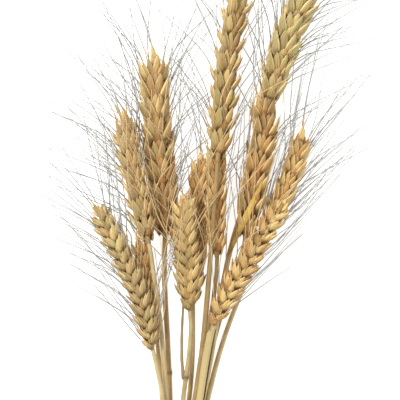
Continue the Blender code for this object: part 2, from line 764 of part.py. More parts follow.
def make_tie(collection):
    """Four turns of twine drawn tight round the straws, with a knot on top and two short ends."""
    slots = [slot_place(*ear["slot"]) for ear in EARS.values()]
    spare = STRAW_RADIUS + GAP + TWINE_RADIUS
    tie_x, tie_y = tie_middle()
    start_y = tie_y - TWINE_PITCH * TWINE_TURNS / 2
    crown = Vector((tie_x, tie_y, max(z for _, z in slots) + spare))
    points = [Vector((crown.x, start_y, crown.z))]
    for step in range(1, TWINE_TURNS * TWINE_STEPS):
        turn = step / TWINE_STEPS
        x, z = ring_point(math.radians(90) + turn * math.tau, slots, spare)
        points.append(Vector((x, start_y + turn * TWINE_PITCH, z)))
    points.append(Vector((crown.x, start_y + TWINE_TURNS * TWINE_PITCH, crown.z)))
    tie = tube("tie_twine", points, [TWINE_RADIUS] * len(points), collection)
    knot = bpy.data.collections.new("knot")
    bpy.context.scene.collection.children.link(knot)
    add_knot(crown, knot)
    apply_boolean(tie, "UNION", knot)
    bpy.data.collections.remove(knot)
    finish_mesh(tie, "twine")


def add_knot(crown, collection):
    """The knot's round body and the twine's two free ends."""
    shape = bmesh.new()
    bmesh.ops.create_uvsphere(shape, u_segments=8, v_segments=6, radius=1)
    bmesh.ops.scale(shape, verts=shape.verts, vec=KNOT_SIZE)
    bmesh.ops.translate(shape, verts=shape.verts, vec=crown + UP * KNOT_RISE)
    add_shape("knot", shape, collection)
    for side in (-1, 1):
        spots = [crown + Vector((side * x, side * y, z)) * MM for x, y, z in TWINE_END]
        tube("end", spots, [TWINE_END_RADIUS] * len(spots), collection)


def main():
    for old in list(bpy.data.objects):
        bpy.data.objects.remove(old)
    bunch = bpy.data.collections.new("dried_wheat_bunch")
    bpy.context.scene.collection.children.link(bunch)
    floor = make_floor_cutter()
    routes = make_straws(bunch)
    make_ears(routes, bunch, floor)
    make_flat_leaf(routes, bunch)
    make_rolled_leaf(routes, bunch)
    make_tie(bunch)


main()
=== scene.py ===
"""A bunch of dried bearded wheat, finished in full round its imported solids.

Every ear gets its husks and awns, every straw its ribs, knots and hollow cut end. The leaves and
the twisted twine follow, and last the plain white stage with its soft light.
"""

import math
import random

import bmesh
import bpy
import numpy as np
from bpy.props import FloatProperty, FloatVectorProperty, PointerProperty
from mathutils import Matrix, Vector
from mathutils.kdtree import KDTree


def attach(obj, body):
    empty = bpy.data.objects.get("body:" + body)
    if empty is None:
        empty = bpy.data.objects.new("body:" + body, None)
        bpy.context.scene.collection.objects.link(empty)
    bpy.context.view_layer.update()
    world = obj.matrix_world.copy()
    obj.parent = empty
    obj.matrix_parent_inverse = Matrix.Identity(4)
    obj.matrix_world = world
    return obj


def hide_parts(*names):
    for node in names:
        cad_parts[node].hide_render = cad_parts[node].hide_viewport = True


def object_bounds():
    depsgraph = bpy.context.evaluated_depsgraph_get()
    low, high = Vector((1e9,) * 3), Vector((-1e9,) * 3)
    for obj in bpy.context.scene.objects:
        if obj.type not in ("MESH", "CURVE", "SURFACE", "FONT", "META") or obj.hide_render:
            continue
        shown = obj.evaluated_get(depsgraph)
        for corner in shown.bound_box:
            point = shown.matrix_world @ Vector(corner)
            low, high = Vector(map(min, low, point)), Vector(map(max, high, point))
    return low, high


bl_info = {
    "name": "Dried Wheat Bunch",
    "version": (1, 0, 0),
    "blender": (4, 5, 0),
    "location": "View3D > Sidebar > Wheat",
    "description": "Husks, awns, straws, leaves and twine of a dried wheat bunch, and its stage",
    "category": "Add Mesh",
}

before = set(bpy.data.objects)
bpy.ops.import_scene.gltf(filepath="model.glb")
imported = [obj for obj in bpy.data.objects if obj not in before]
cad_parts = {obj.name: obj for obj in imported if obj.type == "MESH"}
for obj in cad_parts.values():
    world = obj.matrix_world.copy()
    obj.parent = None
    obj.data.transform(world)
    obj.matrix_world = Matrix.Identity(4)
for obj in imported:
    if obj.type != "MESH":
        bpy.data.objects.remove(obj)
CAD_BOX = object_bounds()

MM = 0.001
# Lists of places are in millimetres, from a point in the bunch where the straws draw together.
ORIGIN = Vector((0.4, 80.8, 0.0))
UP = Vector((0, 0, 1))
SPAN_STEPS = 12
LINE_POINTS = 48
WELD = 0.001 * MM

FIRST_JOINT = 0.2
BASE_SPAN = 0.17
BASE_FULLNESS = 0.68
TIP_SPAN = 0.3
TIP_FULLNESS = 0.64
EAR_RADIUS = 6.8 * MM
EAR_STEPS = 100
TIP_ROOM = 3.3
SPARE_JOINTS = 2.6

# Each ear: its middle line from base to tip, the turn of its rows from flat in degrees, the length
# of its joints in millimetres, the size and spread of its husks beside the usual ones, its chaff,
# how golden, green and light its husks are, and how many of them have awns. Some ears also have
# room, the joints' lengths left bare at the tip; foot, the rust at the base; sweep, the way that
# their awns are combed; fan, the lean of their awns beside the usual one; and more, the share of
# inner husks with awns.
EARS = {
    "left_front": dict(
        line=[(-28.2, 30.6, 20.5), (-32.4, 51, 21.5), (-37.2, 66, 21.5), (-43.8, 81, 20.5),
              (-51, 96, 18.5), (-62.4, 116.4, 15)],
        roll=18, joint=4.0, width=0.95, spread=1.00,
        chaff="olive", gold=0.15, green=0.50, light=0.34, awns=0.80),
    "left_back": dict(
        line=[(-25.8, 34.8, 6.4), (-28, 48, 6.6), (-31.5, 66, 6.6), (-34.5, 84, 6.6),
              (-37.8, 98.4, 6.4)],
        roll=90, joint=4.8, width=0.95, spread=1.00,
        chaff="rust", gold=0.36, green=-0.1, light=0.72, awns=0.35),
    "left": dict(
        line=[(-30.6, 94.2, 18.5), (-36, 120, 18), (-40.2, 138, 17), (-46.8, 172.2, 13)],
        roll=75, joint=5.8, width=1.18, spread=1.30, sweep=(-0.5, 0, 0), fan=1.1, more=0.9,
        chaff="olive", gold=0.38, green=0.60, light=0.58, awns=1.25),
    "left_tall": dict(
        line=[(-21, 97.2, 6), (-22, 120, 6), (-24, 144, 6), (-26.4, 174, 6),
              (-28.2, 211.2, 6)],
        roll=90, joint=7.2, width=1.46, spread=1.50, fan=1.2, foot=0.7, more=1.0,
        chaff="olive", gold=0.30, green=0.35, light=0.62, awns=1.50),
    "centre_front": dict(
        line=[(-6, 54, 20), (-6.6, 75, 20.8), (-7.8, 92, 20.5), (-8.7, 107, 19.5),
              (-9.6, 121.8, 18)],
        roll=8, joint=4.0, width=1.12, spread=1.00, sweep=(0.6, 0, 0.15),
        chaff="gold", gold=0.45, green=0.2, light=0.36, awns=0.65),
    "centre_back": dict(
        line=[(-4.2, 69, 5.8), (-1.8, 90, 6.2), (-0.8, 120, 6.2), (0.6, 147.6, 6.2)],
        roll=90, joint=5.8, width=1.10, spread=1.20, room=2.7,
        chaff="rust", gold=0.42, green=0.15, light=0.98, awns=0.40),
    "centre": dict(
        line=[(10.2, 85.8, 15.4), (9.7, 100, 17.2), (9.2, 114, 17.8), (9.3, 130, 17.4),
              (10, 149, 16)],
        roll=80, joint=5.5, width=1.10, spread=1.10, room=2.2,
        chaff="rust", gold=0.72, green=-0.4, light=1.1, awns=0.45),
    "centre_tall": dict(
        line=[(10.4, 143, 28), (13.2, 174, 22.5), (17.4, 210, 14), (25.8, 253.2, 8)],
        roll=72, joint=7, width=1.28, spread=1.30, fan=1.35, more=0.6,
        chaff="gold", gold=0.22, green=0.8, light=0.29, awns=1.0),
    "right_tall": dict(
        line=[(40.8, 176.4, 5.2), (50.4, 211.2, 7), (61.8, 240, 7.5), (75, 268.8, 7.5)],
        roll=84, joint=7.2, width=1.40, spread=1.45, sweep=(0.45, -0.1, 0), fan=1.3, more=1.0,
        chaff="olive", gold=0.0, green=1.8, light=0.56, awns=1.50),
    "right_mid": dict(
        line=[(27, 96, 8), (30, 114, 11.5), (34.2, 138, 12.6), (37.8, 156, 12.8),
              (38.4, 165, 12.8), (35.4, 182.4, 12.6)],
        roll=86, joint=6.6, width=1.32, spread=1.35, sweep=(0.6, 0, 0.1), fan=1.1, room=2.5,
        chaff="rust", gold=0.34, green=0.30, light=0.54, awns=0.90),
    "right": dict(
        line=[(37.2, 96, 5.4), (46.8, 117, 5.6), (55.8, 138, 5.6), (62.4, 163.2, 5.2)],
        roll=90, joint=5.8, width=1.10, spread=1.20, sweep=(0.2, 0.2, 0.1), fan=0.75, more=0.5,
        chaff="rust", gold=0.60, green=0.75, light=0.98, awns=1.50),
    "right_front": dict(
        line=[(7.9, 45, 15.5), (14.4, 60, 18), (22.2, 72.6, 19.5), (30, 85.8, 20.5),
              (37.2, 98.4, 21), (50.6, 119, 20)],
        roll=-12, joint=4.4, width=0.95, spread=0.90, sweep=(0, 0.5, 0), fan=0.7,
        chaff="gold", gold=0.67, green=0.05, light=0.84, awns=0.48),
}

# The husk shapes, in millimetres: length, width and depth, the half width at five heights as a
# share of the widest, how far the keel stands out, and how far the tip hooks inward.
HUSK_SHAPES = {
    "glume": dict(size=(9.2, 3.5, 2.2), hook=0.08, keel=0.30,
                  rings=((0.06, 0.42), (0.24, 0.86), (0.48, 1.0), (0.74, 0.70), (0.92, 0.28))),
    "lemma": dict(size=(11.0, 3.7, 2.6), hook=0.12, keel=0.22,
                  rings=((0.06, 0.42), (0.23, 0.86), (0.46, 1.0), (0.72, 0.66), (0.91, 0.22))),
    "floret": dict(size=(10.2, 3.5, 2.4), hook=0.11, keel=0.18,
                   rings=((0.06, 0.42), (0.24, 0.88), (0.48, 1.0), (0.73, 0.70), (0.92, 0.26))),
    "inner": dict(size=(8.8, 3.2, 2.4), hook=0.06, keel=0.10,
                  rings=((0.06, 0.46), (0.27, 0.90), (0.50, 1.0), (0.74, 0.76), (0.92, 0.34))),
    "bract": dict(size=(6.2, 2.4, 1.3), hook=0.0, keel=0.30,
                  rings=((0.05, 0.66), (0.20, 1.0), (0.42, 0.86), (0.67, 0.55), (0.87, 0.24))),
    "core": dict(size=(9.2, 5.4, 6.0), hook=0.0, keel=0.0,
                 rings=((0.07, 0.52), (0.25, 0.90), (0.50, 1.0), (0.76, 0.84), (0.93, 0.46))),
}
HUSK_SEGMENTS = 10
HUSK_RINGS = 6

# One spikelet: each husk's shape, its root along the row, the fan and the ear in millimetres, its
# lean along the row and the fan in degrees, the share of the row and fan that it faces, and how
# rusty it is. All but the last two stand on both sides.
SPIKELET = (
    ("bract", (-0.3, 3.3, 0.9), (5, 10), (-0.3, 1.0), 0.0),
    ("glume", (0.7, 2.8, 0.0), (14, 13), (0.15, 1.0), 0.0),
    ("lemma", (1.6, 2.4, 0.9), (26, 19), (0.6, 1.0), 0.05),
    ("lemma", (2.4, 1.8, 1.6), (37, 21), (1.0, 0.85), 0.1),
    ("floret", (2.7, 0.9, 2.6), (30, 9), (1.0, 0.4), 0.2),
)
MIDDLE_HUSKS = (
    ("inner", (2.5, 0.0, 3.8), (23, 0), (1.0, 0.0), 0.7),
    ("core", (0.6, 0.0, -0.6), (21, 0), (1.0, 0.0), 0.9),
)
# The last spikelet stands across the others: husk shape, root and lean across, its facing, its
# size and how rusty it is.
LAST_SPIKELET = (
    ("glume", -2.0, -24, -1.0, 1.05, 0.0), ("lemma", -1.2, -13, -0.5, 1.05, 0.0),
    ("lemma", -0.1, -2, 0.15, 1.2, 0.0), ("inner", 0.4, 5, -0.15, 1.0, 0.3),
    ("lemma", 1.2, 13, 0.5, 1.05, 0.0), ("glume", 2.0, 25, 1.0, 1.05, 0.0),
    ("core", 0.0, 0, 0.0, 0.8, 0.6),
)
LAST_SINK = 11.5 * MM
REST = 0.05 * MM

STRAWS = {
    "left_front": dict(knots=[-96], warm=0.10, light=0.7),
    "left_back": dict(knots=[-110], warm=0.85),
    "left": dict(knots=[-88], warm=0.20, light=0.85),
    "left_tall": dict(knots=[16, -104], warm=1.0, light=0.8, neck=1.55 * MM),
    "centre_front": dict(knots=[13.8, -90], warm=0.30),
    "centre_back": dict(knots=[-100], warm=0.60),
    "centre": dict(knots=[-112], warm=0.55),
    "centre_tall": dict(knots=[-84], warm=1.0, light=0.1),
    "right_tall": dict(knots=[-94], warm=0.50, light=0.85),
    "right_mid": dict(knots=[-106], warm=0.65),
    "right": dict(knots=[-98], warm=0.15, light=0.8),
    "right_front": dict(knots=[-92], warm=0.25),
}
NECK_LENGTH = 90.0 * MM
KNOT_HALF_HEIGHT = 1.6 * MM
KNOT_RINGS = (-1.8, -1.0, -0.5, 0, 0.5, 1.0, 1.8)
KNOT_CLEARANCE = 2.2
CUT_STEP = 4.0 * MM
END_CUT = 1.2 * MM
END_REACH = 1.1 * MM
EVEN_SPAN = 4
STRAW_WALL = 0.42 * MM
HOLLOW_DEPTH = 5

# The dry sheath: its straw, its ends in millimetres, its radius, and in degrees where its edge
# starts and how far it reaches round the straw.
SHEATH = dict(name="right_front", low=-20, high=46, radius=2.6 * MM, start=50, sweep=320)
SHEATH_TINT = (0.99, 0.93, 0.82)
SHEATH_BROWN = (0.45, 0.33, 0.15)
LEAF_BROWN = (0.52, 0.33, 0.10)
ROLLED_LEAF = (0.33, 0.25, 0.11)
ROLLED_BROWN = (0.22, 0.14, 0.05)
ROLLED_FOOT = Vector((-1.2 * MM, 0, 0))
ROLLED_SHIFT = Vector((0.9 * MM, 0, 0))

AWN_POINTS = 10
AWN_TRIES = 12
AWN_TAPER = 0.45
AWN_BASE_LEAN = 45
AWN_TIP_LEAN = 24
AWN_MOST_LEAN = 56
AWN_SWING = 26
AWN_WILD_SWING = 30
AWN_BEND = (0.08, 0.05, 0.05)
AWN_FLOOR = 0.35 * MM
AWN_ROOM = (13.5 * MM, 20.5 * MM, 0.0)
LEAF_ROOM = 5 * MM
# The share of outer husks with an awn, where they stand on edge and what flat ones have more, and
# the share at the tip.
AWN_CHANCE = 0.24
FLAT_CHANCE = 0.6
TIP_CHANCE = 0.8
# What a try at an awn costs for each millimetre that it runs over another ear, over the flat leaf,
# past the bunch's box or below the floor, and for each try before it.
OVER_EAR_COST = 0.12
OVER_LEAF_COST = 2
BEYOND_COST = 6
FLOOR_COST = 0.25
LATE_COST = 0.02

TIE_X = -12.5 * MM
TIE_Y = -59.0 * MM
TIE_ROWS = 3
TIE_COLUMNS = 4
STRAW_SPACING = 3.5 * MM
LOWEST_STRAW = 3.9 * MM
TIE_SPARE = 2.9 * MM
TWINE_TURNS = 4
TWINE_PITCH = 2.3 * MM
TURN_STEPS = 24
KNOT_STEPS = 60
KNOT_GAP = 0.42
STRAND_OFFSET = 0.5 * MM
STRAND_PITCH = 4.6 * MM
# One loose end of the twine from the knot, in millimetres; the other lies the opposite way.
LOOSE_END = ((0, 0, 1.6), (4, 2.5, 2.0), (8, 6, 1.4), (11, 11, 0.9))
FUZZ_COUNT = 110
FUZZ_SHARES = (0.0, 0.4, 0.8, 1.2)
FUZZ_RADII = [0.05 * MM, 0.045 * MM, 0.035 * MM, 0.02 * MM]

KEY_PLACE = (-0.75, 0.75, 1.35)
CAMERA_HEIGHT = 2.4
EAR_LEVEL = 10 * MM
VIEW_MIDDLE = (-0.4 * MM, 39.2 * MM)
SENSOR_WIDTH = 36


class HuskSettings(bpy.types.PropertyGroup):
    """Sizes and colours of the husks"""

    fullness: FloatProperty(
        name="Fullness", description="Size of every husk beside the usual one", default=1.0,
        min=0.7, max=1.3)
    olive: FloatVectorProperty(
        name="Olive chaff", description="Body colour of the olive ears", subtype="COLOR",
        default=(0.425, 0.308, 0.130), min=0, max=1)
    gold: FloatVectorProperty(
        name="Golden chaff", description="Body colour of the golden ears", subtype="COLOR",
        default=(0.465, 0.310, 0.100), min=0, max=1)
    rust: FloatVectorProperty(
        name="Rust chaff", description="Body colour of the rust brown ears", subtype="COLOR",
        default=(0.47, 0.288, 0.088), min=0, max=1)
    # Painted shade: the colour that each husk's root darkens to, where shade falls between the
    # husks.
    shade: FloatVectorProperty(
        name="Root shade", description="Colour deep between the husks", subtype="COLOR",
        default=(0.28, 0.16, 0.052), min=0, max=1)
    cream: FloatVectorProperty(
        name="Husk edge", description="Colour of thin edges, keels and tips", subtype="COLOR",
        default=(0.85, 0.65, 0.32), min=0, max=1)


class AwnSettings(bpy.types.PropertyGroup):
    """Sizes and colours of the awns"""

    length: FloatProperty(
        name="Length", description="Usual length of an awn", subtype="DISTANCE",
        default=62 * MM, min=20 * MM, max=90 * MM)
    thickness: FloatProperty(
        name="Thickness", description="Thickness of an awn at its base", subtype="DISTANCE",
        default=0.60 * MM, min=0.2 * MM, max=1 * MM)
    pale: FloatVectorProperty(
        name="Pale awn", description="Colour of awns that cross the ears", subtype="COLOR",
        default=(0.68, 0.49, 0.25), min=0, max=1)
    # Painted shade: awns away from the ears are darker and duller, standing in for how thin awns
    # look dark against the bright floor.
    shaded_grey: FloatVectorProperty(
        name="Shaded awn", description="Colour of awns away from the ears", subtype="COLOR",
        default=(0.40, 0.405, 0.385), min=0, max=1)


class StrawSettings(bpy.types.PropertyGroup):
    """Sizes and colours of the straws and dry leaves"""

    neck: FloatProperty(
        name="Neck radius", description="Radius just under the ear", subtype="DISTANCE",
        default=1.25 * MM, min=0.5 * MM, max=2 * MM)
    radius: FloatProperty(
        name="Straw radius", description="Radius of the lower straw", subtype="DISTANCE",
        default=1.6 * MM, min=0.8 * MM, max=2.5 * MM)
    swell: FloatProperty(
        name="Knot swell", description="Radius at a knot beside the straw's", default=1.28,
        min=1.0, max=1.6)
    pale: FloatVectorProperty(
        name="Pale straw", description="Colour of the palest straws", subtype="COLOR",
        default=(0.58, 0.475, 0.25), min=0, max=1)
    warm: FloatVectorProperty(
        name="Warm straw", description="Colour of the brown straws", subtype="COLOR",
        default=(0.46, 0.30, 0.115), min=0, max=1)
    knot: FloatVectorProperty(
        name="Knot", description="Colour of the knots", subtype="COLOR",
        default=(0.20, 0.115, 0.045), min=0, max=1)
    leaf: FloatVectorProperty(
        name="Leaf", description="Colour of the flat leaf", subtype="COLOR",
        default=(0.92, 0.60, 0.15), min=0, max=1)


class TwineSettings(bpy.types.PropertyGroup):
    """Size and colour of the twine"""

    strand: FloatProperty(
        name="Strand radius", description="Radius of one of the three strands",
        subtype="DISTANCE", default=0.52 * MM, min=0.2 * MM, max=1 * MM)
    colour: FloatVectorProperty(
        name="Twine", description="Colour of the plant fibre", subtype="COLOR",
        default=(0.36, 0.23, 0.115), min=0, max=1)


class StageSettings(bpy.types.PropertyGroup):
    """The plain stage"""

    key: FloatProperty(
        name="Key light", description="Power of the soft key light in watts", default=22.0,
        min=0, max=200)
    fill: FloatProperty(
        name="Fill light", description="Strength of the white surroundings", default=0.7,
        min=0, max=3)
    span: FloatProperty(
        name="View", description="Width of the surface that the camera sees",
        subtype="DISTANCE", default=0.24, min=0.1, max=1)


def place(point):
    return (Vector(point) - ORIGIN) * MM


def smooth_line(points, count):
    """Points evenly spaced along a smooth curve through the given ones."""
    through = [Vector(p) for p in points]
    ends = [2 * through[0] - through[1], *through, 2 * through[-1] - through[-2]]
    fine = []
    for before, start, end, after in zip(ends, ends[1:], ends[2:], ends[3:]):
        for step in range(SPAN_STEPS):
            u = step / SPAN_STEPS
            fine.append(0.5 * (2 * start + (end - before) * u
                               + (2 * before - 5 * start + 4 * end - after) * u * u
                               + (3 * start - before - 3 * end + after) * u ** 3))
    fine.append(through[-1])
    lengths = [0.0]
    for a, b in zip(fine, fine[1:]):
        lengths.append(lengths[-1] + (b - a).length)
    columns = [np.interp(np.linspace(0, lengths[-1], count), lengths, [p[axis] for p in fine])
               for axis in range(3)]
    return [Vector(p) for p in zip(*columns)]


def along_line(points, u):
    """The place at u of an evenly spaced line, and its direction there."""
    index = min(max(u, 0.0), 1.0) * (len(points) - 1)
    low = min(int(index), len(points) - 2)
    along = (points[low + 1] - points[low]).normalized()
    return points[low].lerp(points[low + 1], index - low), along


def at_height(line, y):
    """The point at y of a line that runs down the bunch."""
    ys = [p.y for p in line][::-1]
    return Vector([np.interp(y, ys, [p[axis] for p in line][::-1]) for axis in range(3)])


def rounded(share):
    """A quarter of a round edge: 0 at 0, rising to 1 and staying there."""
    share = min(share, 1.0)
    return share * (2 - share)


class EarFrame:
    """An ear's middle line, with the row and fan directions along it."""

    def __init__(self, ear):
        self.points = smooth_line([place(p) for p in ear["line"]], LINE_POINTS)
        self.length = sum((b - a).length for a, b in zip(self.points, self.points[1:]))
        self.roll = math.radians(ear["roll"])
        self.width = ear["width"]
        shares = np.linspace(0, 1, EAR_STEPS)
        thick = np.array([self.width / self.size(share) for share in shares])
        run = np.concatenate([[0], np.cumsum((thick[1:] + thick[:-1]) / 2)])
        room = ear.get("room", TIP_ROOM)
        joints = self.length / (ear["joint"] * MM) * thick.mean()
        self.joints = round(joints + SPARE_JOINTS - room)
        # Spikelets stand closer together where they are small.
        goals = (np.arange(self.joints) + FIRST_JOINT) / (self.joints + room)
        self.heights = [float(u) for u in np.interp(goals * run[-1], run, shares)]

    def at(self, u):
        """The middle at u, and the directions along the ear, of its rows and of their fans."""
        middle, along = along_line(self.points, u)
        flat = along.cross(UP).normalized()
        row = math.cos(self.roll) * flat + math.sin(self.roll) * flat.cross(along)
        return middle, along, row, along.cross(row)

    def size(self, u):
        base = BASE_FULLNESS + (1 - BASE_FULLNESS) * rounded(u / BASE_SPAN)
        tip = TIP_FULLNESS + (1 - TIP_FULLNESS) * rounded((1 - u) / TIP_SPAN)
        return self.width * base * tip


def turned(direction, outward, middle):
    """A matrix that points local +Z along direction and local +X as nearly outward as it can."""
    z = direction.normalized()
    x = (outward - outward.dot(z) * z).normalized()
    y = z.cross(x)
    return Matrix(((x.x, y.x, z.x, middle.x), (x.y, y.y, z.y, middle.y),
                   (x.z, y.z, z.z, middle.z), (0, 0, 0, 1)))


def deselect():
    if bpy.context.mode != "OBJECT":
        bpy.ops.object.mode_set(mode="OBJECT")
    bpy.ops.object.select_all(action="DESELECT")


def choose(*pieces):
    """Selects these pieces alone and makes the first one active."""
    deselect()
    for piece in pieces:
        piece.select_set(True)
    bpy.context.view_layer.objects.active = pieces[0]


def edit(piece):
    choose(piece)
    bpy.ops.object.mode_set(mode="EDIT")


def pick_points(piece, wanted):
    """Selects the points of the piece in edit mode whose place is wanted."""
    shape = bmesh.from_edit_mesh(piece.data)
    for vert in shape.verts:
        vert.select_set(bool(wanted(vert.co)))
    shape.select_flush_mode()
    bmesh.update_edit_mesh(piece.data)


def join(name, parts):
    """One object of several, each of which has its place in its mesh."""
    choose(*parts)
    bpy.ops.object.join()
    whole = bpy.context.object
    whole.name = name
    whole.data.name = name
    return whole


def smooth(piece, angle=None):
    choose(piece)
    if angle is None:
        bpy.ops.object.shade_smooth()
    else:
        bpy.ops.object.shade_smooth_by_angle(angle=math.radians(angle))


def write_attribute(piece, name, values):
    """Gives each point of the piece three numbers under a name."""
    layer = piece.data.attributes.get(name)
    if layer is None:
        layer = piece.data.attributes.new(name, "FLOAT_VECTOR", "POINT")
    flat = np.asarray(values, np.float32)
    layer.data.foreach_set("vector", flat.ravel())


def point_places(piece):
    places = np.zeros(len(piece.data.vertices) * 3, np.float32)
    piece.data.vertices.foreach_get("co", places)
    return places.reshape(-1, 3)


def write_uv(piece, pairs):
    """Gives each corner the pair of its point."""
    mesh = piece.data
    corners = np.zeros(len(mesh.loops), np.int32)
    mesh.loops.foreach_get("vertex_index", corners)
    layer = mesh.uv_layers[0] if mesh.uv_layers else mesh.uv_layers.new(name="UVMap")
    layer.data.foreach_set("uv", np.asarray(pairs, np.float32)[corners].ravel())


def add_rods(name, lines, resolution):
    """Closed round rods through lines of points and radii, as one mesh with 4 sides or more."""
    deselect()
    bpy.ops.curve.primitive_nurbs_path_add()
    rods = bpy.context.object
    rods.name = name
    data = rods.data
    data.splines.clear()
    data.bevel_depth = 1.0
    data.bevel_resolution = resolution
    data.use_fill_caps = True
    for points, radii in lines:
        line = data.splines.new("POLY")
        line.points.add(len(points) - 1)
        for spot, point, radius in zip(line.points, points, radii):
            spot.co = (*point, 1)
            spot.radius = radius
    bpy.ops.object.convert(target="MESH")
    edit(rods)
    bpy.ops.mesh.select_all(action="SELECT")
    bpy.ops.mesh.remove_doubles(threshold=WELD)
    deselect()
    smooth(rods)
    return rods


def mark_rods(rods, name, lines, values):
    """Gives each point of rods the three numbers of the nearest point of their lines."""
    spots = [point for points, _ in lines for point in points]
    tree = KDTree(len(spots))
    for index, spot in enumerate(spots):
        tree.insert(spot, index)
    tree.balance()
    write_attribute(rods, name, [values[tree.find(co)[1]] for co in point_places(rods)])


def dress(piece, finish, slot, *nodes):
    """Gives a piece its finish, hangs it under the root body and hides the CAD nodes that it
    stands for, if any.
    """
    piece.data.materials.clear()
    piece.data.materials.append(finish)
    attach(piece, "root")
    if nodes:
        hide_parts(*nodes)


def tinted(colour, factors):
    return tuple(c * f for c, f in zip(colour, factors))


def lit(colour, factor):
    return tuple(min(c * factor, 1) for c in colour)


class Nodes:
    """Short ways to add and join the nodes of a material."""

    def __init__(self, name, roughness, specular):
        self.made = bpy.data.materials.new(name)
        self.made.use_nodes = True
        self.tree = self.made.node_tree
        self.shader = self.tree.nodes["Principled BSDF"]
        self.shader.inputs["Roughness"].default_value = roughness
        self.shader.inputs["Specular IOR Level"].default_value = specular

    def add(self, kind, **settings):
        node = self.tree.nodes.new(kind)
        for key, value in settings.items():
            setattr(node, key, value)
        return node

    def feed(self, socket, value):
        """Sets a socket, or links an output to it."""
        if isinstance(value, bpy.types.NodeSocket):
            self.tree.links.new(value, socket)
        else:
            socket.default_value = value

    def calc(self, operation, *values):
        node = self.add("ShaderNodeMath", operation=operation)
        for socket, value in zip(node.inputs, values):
            self.feed(socket, value)
        return node.outputs[0]

    def span(self, value, low, high, start=0.0, end=1.0):
        """A smooth step from start at low to end at high."""
        node = self.add("ShaderNodeMapRange", interpolation_type="SMOOTHSTEP")
        for socket, part in zip(node.inputs, (value, low, high, start, end)):
            self.feed(socket, part)
        return node.outputs[0]

    def mix(self, share, first, second, kind="MIX"):
        node = self.add("ShaderNodeMix", data_type="RGBA", blend_type=kind)
        colours = [(*c, 1) if isinstance(c, (tuple, list)) and len(c) == 3 else c
                   for c in (first, second)]
        self.feed(node.inputs[0], share)
        self.feed(node.inputs[6], colours[0])
        self.feed(node.inputs[7], colours[1])
        return node.outputs[2]

    def parts(self, vector):
        node = self.add("ShaderNodeSeparateXYZ")
        self.feed(node.inputs[0], vector)
        return node.outputs[0], node.outputs[1], node.outputs[2]

    def attribute(self, name):
        return self.parts(self.add("ShaderNodeAttribute", attribute_name=name).outputs["Vector"])

    def uv(self):
        return self.parts(self.add("ShaderNodeUVMap", uv_map="UVMap").outputs["UV"])

    def here(self):
        return self.add("ShaderNodeTexCoord").outputs["Object"]

    def noise(self, where, scale, detail=2.0, stretch=None):
        node = self.add("ShaderNodeTexNoise")
        if stretch:
            turn = self.add("ShaderNodeMapping")
            self.feed(turn.inputs["Vector"], where)
            turn.inputs["Scale"].default_value = stretch
            where = turn.outputs[0]
        self.feed(node.inputs["Vector"], where)
        node.inputs["Scale"].default_value = scale
        node.inputs["Detail"].default_value = detail
        return node.outputs["Fac"]

    def along_rod(self, stretch):
        """A place on a rod's skin without a seam, from its UV map."""
        length, turn, _ = self.uv()
        angle = self.calc("MULTIPLY", turn, math.tau)
        skin = self.add("ShaderNodeCombineXYZ")
        self.feed(skin.inputs[0], self.calc("COSINE", angle))
        self.feed(skin.inputs[1], self.calc("SINE", angle))
        self.feed(skin.inputs[2], self.calc("MULTIPLY", length, stretch))
        return skin.outputs[0]

    def from_middle(self, across):
        """How far a place across a husk or leaf is from its middle, 0 to 1."""
        return self.calc("ABSOLUTE", self.calc("MULTIPLY_ADD", across, 2.0, -1.0))

    def veins(self, across, count):
        """Veins side by side, 1 on them and 0 between them."""
        wave = self.calc("SINE", self.calc("MULTIPLY", across, math.tau * count))
        return self.calc("MULTIPLY_ADD", wave, 0.5, 0.5)

    def bright(self, colour, value):
        node = self.add("ShaderNodeHueSaturation")
        self.feed(node.inputs["Color"], colour)
        self.feed(node.inputs["Value"], value)
        return node.outputs[0]

    def finish(self, colour, height=None, depth=0.0):
        """Joins up the colour and the relief, whose depth is in metres."""
        self.feed(self.shader.inputs["Base Color"], colour)
        if height is not None:
            bump = self.add("ShaderNodeBump")
            bump.inputs["Distance"].default_value = depth
            self.feed(bump.inputs["Height"], height)
            self.feed(self.shader.inputs["Normal"], bump.outputs[0])
        return self.made


